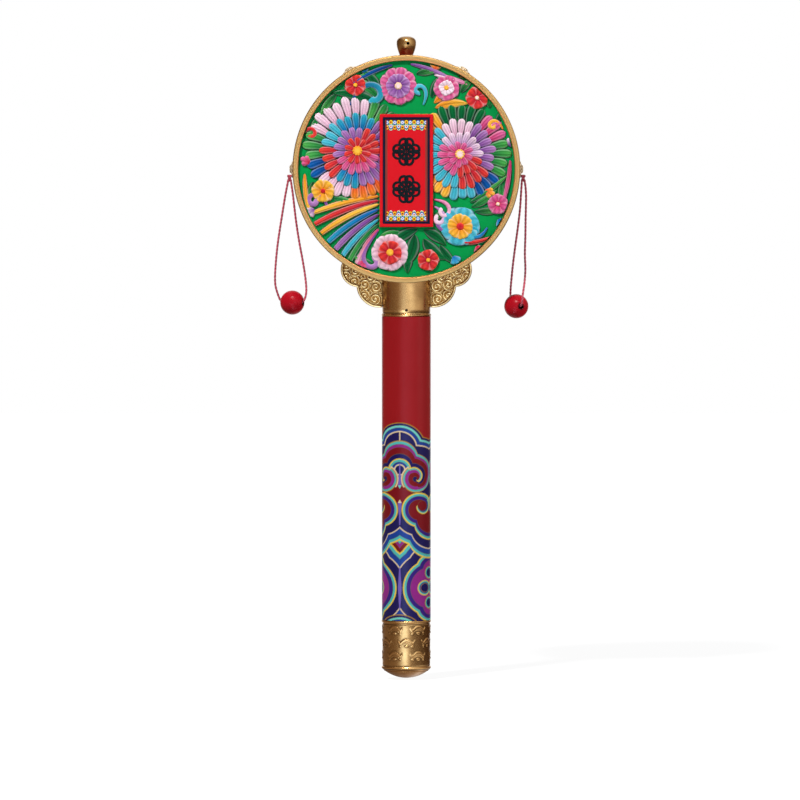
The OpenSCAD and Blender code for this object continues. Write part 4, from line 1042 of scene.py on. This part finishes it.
# Two great blossoms: place, turn of the petals, rings from the outside in, and the colours of the heart and
# of the beads round it. Each ring has where its petals start and end, their number, half width, height,
# floor and the colours of its sectors from root to tip, each up to a heading.
great = [
    (-21.5, 8.0, 14, [
        (13.5, 24.6, 31, 2.08, 0.95, 0.0, [
            (74, light_green, leaf_green), (152, pale_pink, pinkish_white), (186, leaf_green, light_green),
            (220, deep_blue, blue), (262, pale_pink, pinkish_white), (360, red_orange, orange)]),
        (8.2, 17.0, 25, 1.78, 0.95, 0.28, [
            (60, violet, lilac), (128, blue, turquoise), (168, turquoise, sky), (226, crimson, red_orange),
            (275, blue, turquoise), (360, violet, lilac)]),
        (3.6, 11.2, 17, 1.64, 0.98, 0.4, [
            (80, crimson, red_orange), (210, violet, lilac), (360, deep_pink, pink)]),
        (1.0, 6.6, 10, 1.5, 1.0, 0.5, [(360, crimson, red_orange)])], gold_yellow, orange),
    (23.5, 6.5, -14, [
        (12.6, 23.0, 29, 2.08, 0.95, 0.0, [
            (22, leaf_green, light_green), (62, deep_pink, pink), (112, dark_green, leaf_green),
            (250, orange, gold_yellow), (296, turquoise, sky), (334, deep_blue, blue),
            (360, leaf_green, light_green)]),
        (7.8, 16.2, 23, 1.84, 0.95, 0.28, [
            (64, violet, lilac), (130, pale_pink, pinkish_white), (262, turquoise, sky),
            (322, crimson, red_orange), (360, violet, lilac)]),
        (3.4, 10.6, 16, 1.66, 0.98, 0.4, [
            (150, lilac, pinkish_white), (250, deep_pink, pink), (360, crimson, red_orange)]),
        (1.0, 6.2, 9, 1.56, 1.0, 0.5, [(360, deep_pink, pink)])], pinkish_white, gold_yellow)]
skins = []
for gx, gz, sweep, rings, heart, heart_rim in great:
    for ring, (start, end, count, half, rise, level, sectors) in enumerate(rings):
        for k in range(count):
            heading = 360 * (k + 0.5 * (ring % 2)) / count
            root_tint, tip_tint = next(colours for upto, *colours in sectors if heading <= upto)
            hx, hz = heading_of(heading)
            uneven = (1 - 0.06 * ((k * 5) % 3)) * (1 - 0.24 * max(0, -hz) * (ring == 0))
            skins.append(tucked(blade(
                "petal", gx + start * hx, gz + start * hz, heading - sweep / 2, (end - start) * uneven, half,
                rise, root_tint, tip_tint, sweep, flutes=3, floor_height=level, pale=0.2, tilt=0.24)))
    skins.append(tucked(button(gx, gz, 2.1, 1.1, heart, heart_rim, 24, 0.48, 0.25)))
    for k in range(10):
        hx, hz = heading_of(36 * k)
        bead = button(gx + 1.75 * hx, gz + 1.75 * hz, 0.5, 1.1, heart_rim, gold_yellow, 8, 0.5)
        skins.append(tucked(bead))

# Lesser blossoms: place, radius, rings of petals from the outside in, and the heart. Each ring has its
# number of petals, its share of the radius, its height and the colours from root to tip.
flowers = [
    (-3.6, 36.4, 8.4, [
        (9, 1.0, 0.85, deep_pink, pink), (7, 0.66, 1.05, violet, lilac)], pinkish_white, gold_yellow),
    (23.6, -25.2, 8.6, [
        (6, 1.0, 0.85, turquoise, sky), (6, 0.66, 1.05, orange, gold_yellow)], crimson, red_orange),
    (-7.2, -36.6, 8.2, [
        (7, 1.0, 0.85, deep_pink, pinkish_white), (5, 0.64, 1.05, crimson, red_orange)], gold_yellow, orange),
    (-36.6, -9.6, 5.0, [(5, 1.0, 0.95, orange, gold_yellow)], crimson, red_orange),
    (17.6, 35.6, 5.6, [
        (5, 1.0, 0.9, deep_pink, pink), (4, 0.58, 1.1, pinkish_white, pinkish_white)], gold_yellow, orange),
    (-22.4, 36.8, 4.6, [(5, 1.0, 0.95, crimson, red_orange)], gold_yellow, orange),
    (9.6, -40.0, 4.6, [(5, 1.0, 0.95, crimson, red_orange)], gold_yellow, orange),
    (40.2, -15.4, 4.4, [(5, 1.0, 0.95, deep_pink, pink)], pinkish_white, gold_yellow),
    (31.0, 31.2, 4.8, [(5, 1.0, 0.95, crimson, red_orange)], pinkish_white, gold_yellow)]
for number, (fx, fz, fr, rings, heart, heart_rim) in enumerate(flowers):
    for ring, (count, share, rise, inner, outside) in enumerate(rings):
        for k in range(count):
            heading = 360 * (k + 0.5 * (ring % 2)) / count + 17 * number
            hx, hz = heading_of(heading)
            skins.append(tucked(blade(
                "petal", fx + 0.12 * fr * hx, fz + 0.12 * fr * hz, heading - 5, fr * (share - 0.12),
                fr * share * 3.3 / count, rise, inner, outside, 10, flutes=3,
                floor_height=0.3 + 0.16 * ring, rows=15, tilt=0.12)))
    skins.append(tucked(button(fx, fz, 0.2 * fr, 1.2, heart, heart_rim, 20, 0.36, 0.2)))
blossoms = piece("raised_blossoms", skins, enamel, "drum")
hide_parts("relief_blossoms")

# Leaves: place, heading, length, half width, bend and colours from root to tip
leaves = [
    (-12.0, 28.4, 150, 22, 2.7, 34, dark_green, leaf_green),
    (-12.2, 31.0, 128, 17, 2.5, 40, leaf_green, light_green),
    (-11.6, 33.4, 108, 13.5, 2.2, 44, dark_green, leaf_green),
    (-30.5, 33.0, 222, 12, 2.0, 22, dark_green, light_green),
    (-39.2, 22.6, 250, 10, 1.8, 14, leaf_green, light_green),
    (12.6, 26.8, 22, 15, 2.3, -30, orange, gold_yellow),
    (12.2, 28.8, 48, 12.5, 2.1, -34, orange, red_orange),
    (11.0, 31.2, 78, 12, 2.0, -30, dark_green, leaf_green),
    (24.0, 33.4, 66, 8.4, 1.9, -30, dark_green, light_green),
    (36.6, 26.6, 96, 9.0, 1.8, 30, leaf_green, light_green),
    (39.2, 21.0, 40, 7.6, 1.7, 30, dark_green, leaf_green),
    (4.4, 41.6, 20, 9.6, 1.9, -26, dark_green, light_green),
    (-12.8, 42.4, 188, 9.4, 1.8, 22, leaf_green, light_green),
    (-11.6, 38.6, 200, 7.0, 1.6, 24, dark_green, leaf_green),
    (5.0, -26.4, 196, 16, 2.6, 34, dark_green, leaf_green),
    (3.6, -28.6, 268, 15, 3.2, -30, dark_green, leaf_green),
    (7.6, -30.6, 296, 14, 3.0, 46, dark_green, leaf_green),
    (7.6, -27.0, 344, 12, 2.6, -36, dark_green, leaf_green),
    (-15.8, -33.6, 196, 10.5, 2.0, 34, dark_green, leaf_green),
    (-14.6, -41.6, 172, 9.4, 1.9, -26, leaf_green, light_green),
    (1.8, -37.4, 246, 8.6, 2.2, 30, dark_green, leaf_green),
    (14.8, -33.4, 292, 11, 2.1, 40, dark_green, leaf_green),
    (17.2, -19.0, 200, 6.6, 1.6, 20, dark_green, light_green),
    (31.6, -29.6, 300, 11, 2.0, -46, dark_green, leaf_green),
    (28.6, -16.8, 22, 13.5, 1.9, 26, leaf_green, light_green),
    (30.0, -18.6, 356, 13.5, 1.9, 22, dark_green, light_green),
    (41.8, -6.2, 264, 8.0, 1.6, 14, leaf_green, light_green),
    (-40.8, -5.6, 252, 8.6, 1.7, 16, dark_green, light_green),
    (-32.0, -12.6, 340, 8.4, 1.8, 20, leaf_green, light_green),
    (-2.0, -28.2, 176, 9.5, 1.8, 20, leaf_green, light_green)]
skins = []
for x, z, heading, length, half, bend, root_tint, tip_tint in leaves:
    skins.append(tucked(blade(
        "leaf", x, z, heading, length, half, 0.85, root_tint, tip_tint, bend, ribs=round(length / 2),
        rows=2 * round(length) + 9, pale=0.16)))
foliage = piece("raised_leaves", skins, enamel, "drum")
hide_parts("relief_leaves")

# Long ribbons that sweep to the lower left and right, and curls: kind, place, heading, length, half width,
# turn, its power and the colours from root to tip
stems = [
    ("ribbon", -12.0, -11.9, 187, 33, 1.5, 16, 1, orange, gold_yellow),
    ("ribbon", -12.0, -13.8, 191, 36, 1.5, 22, 1, crimson, red_orange),
    ("ribbon", -12.0, -15.4, 196, 37, 1.45, 28, 1, gold_yellow, orange),
    ("ribbon", -12.0, -17.6, 202, 37, 1.5, 30, 1, blue, turquoise),
    ("ribbon", -12.0, -19.8, 208, 36, 1.45, 32, 1, violet, lilac),
    ("ribbon", -12.0, -22.0, 213, 34, 1.4, 36, 1, turquoise, sky),
    ("ribbon", -12.2, -24.2, 219, 31, 1.35, 38, 1, leaf_green, light_green),
    ("ribbon", -12.0, -26.2, 226, 27, 1.3, 34, 1, deep_pink, pinkish_white),
    ("curl", -12.4, -26.8, 232, 27, 1.5, 330, 3.2, violet, lilac),
    ("curl", -34.4, -17.2, 112, 20, 1.45, 400, 2.2, violet, lilac),
    ("curl", -24.6, 27.8, 66, 27, 1.9, -300, 2.2, deep_blue, turquoise),
    ("curl", -46.0, 13.6, 70, 13, 1.2, -330, 2.0, crimson, red_orange),
    ("curl", 12.2, -13.4, 350, 17, 1.2, -330, 2.2, pink, pinkish_white),
    ("curl", 12.2, -16.4, 330, 15, 1.2, -340, 2.2, lilac, pinkish_white),
    ("curl", 12.2, -20.4, 286, 17, 1.25, 340, 2.4, violet, lilac),
    ("ribbon", 28.0, -14.6, 28, 20, 1.2, 16, 1, leaf_green, light_green),
    ("ribbon", 16.8, -30.2, 336, 22, 1.15, 52, 1, crimson, red_orange),
    ("curl", 35.6, -25.6, 238, 16, 1.2, -380, 2.2, blue, turquoise),
    ("curl", 7.4, 28.0, 70, 16, 1.2, 330, 2.4, turquoise, sky),
    ("ribbon", 27.4, 36.8, 156, 16, 1.2, 16, 1, pink, pinkish_white),
    ("curl", 42.4, 17.4, 118, 13, 1.15, 380, 2.2, orange, gold_yellow),
    ("ribbon", -6.0, 45.6, 194, 20, 1.1, 22, 1, deep_blue, blue),
    ("ribbon", 1.6, 46.0, 350, 20, 1.1, -22, 1, violet, lilac),
    ("ribbon", -44.6, -2.0, 268, 19, 1.2, 20, 1, orange, gold_yellow),
    ("ribbon", 45.6, 4.0, 268, 20, 1.1, -16, 1, deep_pink, pink)]
buds = [
    (-42.4, 2.6, 150), (-31.0, 38.4, 150), (34.6, -9.6, 340), (20.6, -38.4, 300), (-18.4, -40.2, 240),
    (45.2, 10.0, 60), (24.4, 40.0, 70), (-18.0, 42.4, 110), (31.0, -33.8, 300), (-40.4, -17.8, 210),
    (12.6, 43.4, 80), (40.6, -22.0, 300)]
bud_tints = [(crimson, pink), (violet, pinkish_white), (red_orange, gold_yellow), (blue, sky)]
skins = []
for kind, x, z, heading, length, half, turn, power, root_tint, tip_tint in stems:
    flutes, rows = (2, 34) if kind == "ribbon" else (0, 64)
    skins.append(tucked(blade(
        kind, x, z, heading, length, half, 1.0, root_tint, tip_tint, turn, power, flutes=flutes,
        floor_height=0.1, rows=rows, pale=0.26, tilt=0.1)))
for k, (x, z, heading) in enumerate(buds):
    root_tint, tip_tint = bud_tints[k % 4]
    for off, share in ((-32, 0.8), (32, 0.8), (0, 1.0)):
        skins.append(tucked(blade(
            "petal", x, z, heading + off, 4.6 * share, 1.3, 0.9 + 0.3 * share, root_tint, tip_tint,
            flutes=1, rows=12, floor_height=0.1 * share)))
scrolling = piece("raised_stems", skins, enamel, "drum")
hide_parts("relief_tendrils")

# Front plaque
# An upright red enamelled plate on the front head: a bright border, a navy frame with a brown line
# down each side, and a red field with a painted band of cloud scrolls at each end.
plaque_red = srgb(216, 20, 32)
frame_navy = srgb(10, 20, 42)
line_brown = srgb(140, 58, 50)
ink = srgb(14, 22, 26)
plaque_enamel = finish("plaque_enamel", darkening=0.05, cloud=120, grain=2600, roughness=0.5, change=0.05,
                       bump=0.000006, specular=0.06)


# Nested rectangles as one skin. Each step is how far in it lies from the sides and from the ends, its height
# and its colour: the edge, the border, the frame, the brown line and the field, which closes in a line.
half_x, half_z = plaque_half
field_level = 1.36
steps = [
    (half_x, half_z, -0.12, plaque_red), (0, 0, -0.12, plaque_red), (0, 0, 1.5, plaque_red),
    (0.08, 0.08, 1.64, plaque_red), (0.22, 0.22, 1.7, plaque_red), (1.2, 1.2, 1.7, plaque_red),
    (1.36, 1.36, 1.5, plaque_red), (1.38, 1.38, 1.5, frame_navy), (1.46, 1.46, 1.6, frame_navy),
    (2.34, 2.34, 1.6, frame_navy), (2.42, 2.42, 1.44, frame_navy), (2.44, 2.43, 1.44, line_brown),
    (3.36, 2.45, 1.44, line_brown), (3.4, 2.46, field_level, line_brown),
    (3.42, 2.48, field_level, plaque_red), (half_x, half_x, field_level, plaque_red)]
corner_signs = np.array([(-1, -1), (1, -1), (1, 1), (-1, 1)])
rings = [np.insert(corner_signs * (half_x - a, half_z - b) + [0, plaque_mid], 2, level, axis=1)
         for a, b, level, tint in steps]
tints = np.array([[tint] * 4 for a, b, level, tint in steps])
skin = cells(on_face(np.array(rings)), tints, around=True)
plaque = piece("plaque_plate", [skin], plaque_enamel, "drum", 1e-9)
plaque.data.polygons.foreach_set("use_smooth", np.zeros(len(plaque.data.polygons), bool))
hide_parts("front_plaque")

# The painted bands: rows of cloud heads in nested colours over a scalloped ground. Each cloud head is its
# place in the repeat and its rings of radius and colour.
band_white = srgb(246, 244, 234)
band_blue = srgb(40, 110, 214)
band_yellow = srgb(250, 226, 40)
band_orange = srgb(238, 116, 24)
band_green = srgb(40, 160, 84)
band_repeat = 3.4
band_start = 22.2
band_rounds = [
    (0, 4.1, [(0.75, ink), (0.62, band_white), (0.34, band_green)]),
    (1.7, 3.3, [(1.0, ink), (0.88, band_yellow), (0.58, band_orange), (0.28, ink)]),
    (0, 2.9, [(1.12, ink), (0.98, band_blue), (0.66, band_white), (0.34, crimson)]),
    (0.86, 1.9, [(0.8, ink), (0.68, band_white), (0.42, band_green)]),
    (1.7, 1.1, [(1.06, ink), (0.94, band_blue), (0.62, band_white), (0.3, band_blue)]),
    (0, 0.95, [(0.95, ink), (0.83, band_yellow), (0.54, band_orange), (0.26, ink)])]


def painted_band(up):
    """One band as a raised sheet: each cloud head covers what lies below it, ring by ring, and is mirrored
    within the repeat."""
    across = np.linspace(-8.7, 8.7, 218)
    down = np.linspace(0, 4.7, 60)
    x, v = np.meshgrid(across, down, indexing="ij")
    u = np.abs((x + band_repeat / 2) % band_repeat - band_repeat / 2)
    tint = np.broadcast_to(plaque_red, x.shape + (3,)).copy()
    level = np.full(x.shape, field_level - 0.03)
    cover = np.clip((3.0 + 0.7 * np.cos(2 * np.pi * u / band_repeat) - v) / 0.08, 0, 1)
    tint += (ink - tint) * cover[..., None]
    for cu, cv, rings in band_rounds:
        far = np.hypot(u - cu, v - cv)
        for r, colour in rings:
            cover = np.clip((r - far) / 0.08 + 0.5, 0, 1)
            tint += (colour - tint) * cover[..., None]
        level = np.maximum(level, 1.4 + 0.12 * np.clip((rings[1][0] - far) / 0.15, 0, 1))
    level[[0, -1]] = field_level - 0.06
    level[:, [0, -1]] = field_level - 0.06
    z = plaque_mid + up * (band_start - v)
    return cells(on_face(np.stack([x, z, level], axis=-1)), tint)


bands = piece("plaque_scroll_bands", [painted_band(1), painted_band(-1)], plaque_enamel, "drum")
normals = np.empty(len(bands.data.polygons) * 3, np.float32)
bands.data.polygons.foreach_get("normal", normals)
if normals[1::3].mean() > 0:
    bands.data.flip_normals()

# Two rosettes of cloud heads in black lacquer on the field: four pairs of curls, and four leaves between
skins = []
for middle in (7.6, -8.8):
    for k in range(4):
        corner = 90 * k + 45
        hx, hz = heading_of(corner)
        blades = [blade(
            "curl", 0.6 * hx, middle + 0.6 * hz, corner - 16 * hand, 13, 0.74, 0.3, ink, ink, 400 * hand, 1.7,
            rows=36, pale=0, floor_height=field_level - 0.04) for hand in (-1, 1)]
        blades.append(blade(
            "leaf", 0, middle, 90 * k, 5.2, 0.8, 0.3, ink, ink, rows=14, pale=0,
            floor_height=field_level - 0.04))
        skins += [cells(on_face(points), tint, around=True) for points, tint in blades]
rosettes = piece("plaque_rosettes", skins, plaque_enamel, "drum")

# Finial
# A turned brass knob on the stick's tenon, pierced from front to back for a hanging thread.
finial_brass = finish("finial_brass", colour=srgb(180, 138, 84), darkening=0.35, cloud=260, grain=2400,
                      roughness=0.22, change=0.1, bump=0.00001, metal=1)
dress("finial", finial_brass)

# The thread hole is painted dark inside as shade: within its radius of its axis the metal loses its colour
# and its shine.
# The distance to the axis is the length of the cross product of the way from its middle and its direction.
hole_middle = (0, 0, 0.1876)
hole_direction = (math.sin(math.radians(10)), -math.cos(math.radians(10)), 0)
hole_radius = 0.0007
tree = finial_brass.node_tree
shader = next(node for node in tree.nodes if node.type == "BSDF_PRINCIPLED")
brass = shader.inputs["Base Color"].links[0].from_socket
place = add_node(tree, "TexCoord", {}).outputs["Object"]
away = add_node(tree, "VectorMath", {0: place, 1: hole_middle}, "SUBTRACT").outputs["Vector"]
away = add_node(tree, "VectorMath", {0: away, 1: hole_direction}, "CROSS_PRODUCT").outputs["Vector"]
away = add_node(tree, "VectorMath", {0: away}, "LENGTH").outputs["Value"]
outside = add_node(tree, "Math", {0: away, 1: hole_radius}, "GREATER_THAN").outputs[0]
shown = tree.nodes.new("ShaderNodeMix")
shown.data_type = "RGBA"
feed(tree, shown, {"Factor": outside, "A": (0.02, 0.015, 0.01, 1), "B": brass})
feed(tree, shader, {
    "Base Color": shown.outputs["Result"], "Metallic": outside, "Specular IOR Level": outside})

# Side bosses
# Four small cast bosses on the hoop, pierced in look: eight open leaves round a middle, whose holes and
# middle are shallow dents painted dark as shade, and the lips round the holes are painted cream as highlight.
# The two lower ones hold the cords.
boss_highlight_cream = srgb(250, 228, 190)
boss_ground = brass_mid * 0.8
boss_radius = 3.9
boss_dome = 3.3
boss_seat = 48.6
boss_back = -1.2
hoop_radius = 48.75


def boss_skin(angle, count=128):
    """A boss on the hoop at an angle: radius s to a rim of eight scallops, height a dome less its holes, on
    the hoop's curve, which falls by x^2 / 2 R."""
    s = np.concatenate([np.linspace(0, 1, 40), [1.0, 0.9, 0]])
    a = np.linspace(0, 2 * np.pi, count, endpoint=False)
    s, a = np.meshgrid(s, a, indexing="ij")
    leaf = np.abs(np.cos(4 * a))
    r = boss_radius * (1 - 0.13 * (1 - leaf)) * s
    even_r = boss_radius * s
    level = boss_dome * np.sqrt(np.maximum(1 - (s * 0.93) ** 2, 0)) - 0.35
    level = level + 0.25 * (leaf ** 3 - 0.5) * np.clip(s * 2, 0, 1)
    outer_holes = np.hypot(even_r - 2.35, even_r * ((a + np.pi / 8) % (np.pi / 4) - np.pi / 8))
    inner_holes = np.hypot(even_r - 1.25, even_r * (a % (np.pi / 2) - np.pi / 4)) + 0.22
    to_hole = np.minimum(outer_holes, inner_holes)
    hole = np.clip((0.68 - to_hole) / 0.16, 0, 1)
    lip = np.exp(-((to_hole - 0.9) / 0.24) ** 2)
    middle = np.clip((0.5 - even_r) / 0.15, 0, 1)
    level = level - 0.75 * hole + 0.1 * lip - 0.6 * middle
    level[-3:] = [[-0.4], [boss_back], [boss_back]]
    # Painted highlight on the lips round the holes, and painted shade that darkens the holes and the middle
    # almost to black
    tint = boss_ground + (boss_highlight_cream - boss_ground) * (lip * (1 - hole))[..., None]
    tint = np.maximum(tint - brass_mid * 0.78 * np.maximum(hole, middle)[..., None], 0.004)
    x, y = r * np.cos(a), r * np.sin(a)
    out = np.maximum(level, boss_back) + boss_seat - x ** 2 / (2 * hoop_radius)
    turn = math.radians(angle)
    across, up = out * math.cos(turn) - x * math.sin(turn), out * math.sin(turn) + x * math.cos(turn)
    return cells(np.stack([across, y, up], axis=-1) * 0.001 + [0, 0, drum_z], tint, around=True)


boss_brass = finish("boss_brass", darkening=0.2, cloud=500, grain=2400, roughness=0.36, change=0.1,
                    bump=0.00001, metal=0.45)
for name, angle in (("right", 0), ("upper_right", 60), ("upper_left", 120), ("left", 180)):
    made = piece("pierced_boss_" + name, [boss_skin(angle)], boss_brass, "drum")
    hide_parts("boss_" + name)

# Pellets
# Two drilled wooden beads in red lacquer, a little darker round the mouths of the hole and painted dark
# inside it as shade.
bead_radius = 0.00535
bead_hole = 0.0011
mouth_round = 0.0003
bead_red = srgb(174, 14, 30)
bead_mouth_red = srgb(120, 12, 22)
bead_hole_shade = srgb(58, 8, 10)
bead_lacquer = finish("bead_lacquer", darkening=0.15, cloud=240, grain=900, roughness=0.28, change=0.03,
                      bump=0.000001, specular=0.09)


def bead_skin(centre, turn_degrees):
    """A ball with a hole along its axis: its profile of distance along and radius, turned round, with soft
    mouths, and the axis turned from the right about the upright."""
    mouth = math.degrees(math.asin((bead_hole + mouth_round) / bead_radius))
    outside = arc(0, 0, bead_radius, mouth, 180 - mouth, 56)
    far_mouth = [[outside[-1][0] + 0.00012, bead_hole + 0.00012], [outside[-1][0] + 0.0004, bead_hole]]
    near_mouth = [[-along, r] for along, r in far_mouth[::-1]]
    profile = np.concatenate([outside, far_mouth, near_mouth, outside[:1]])
    along, r = profile[:, :1], profile[:, 1:]
    a = np.linspace(0, 2 * np.pi, 72, endpoint=False)[None, :]
    across, up = r * np.cos(a), r * np.sin(a)
    turn = math.radians(turn_degrees)
    x, y = along * math.cos(turn) - across * math.sin(turn), along * math.sin(turn) + across * math.cos(turn)
    # Darker round the mouths of the hole, and painted dark inside the hole as shade
    mouth_darkening = np.exp(-((r - bead_hole) / 0.0006) ** 2)[..., None]
    inside = (np.arange(len(profile)) > len(outside))[:, None, None]
    tint = np.where(inside, bead_hole_shade, bead_red + (bead_mouth_red - bead_red) * 0.55 * mouth_darkening)
    return cells(np.stack([x, y, up], axis=-1) + centre, tint, around=True)


for side, sign, place, turn_degrees in (
        ("left", -1, (1.2, 0, -55.6), -20), ("right", 1, (-3, 0, -57.2), -67)):
    centre = pivot * [sign, 1, 1] + np.array(place) * 0.001
    bead = piece("pellet_" + side, [bead_skin(centre, turn_degrees)], bead_lacquer, side + "_pellet")
    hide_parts("bead_" + side)
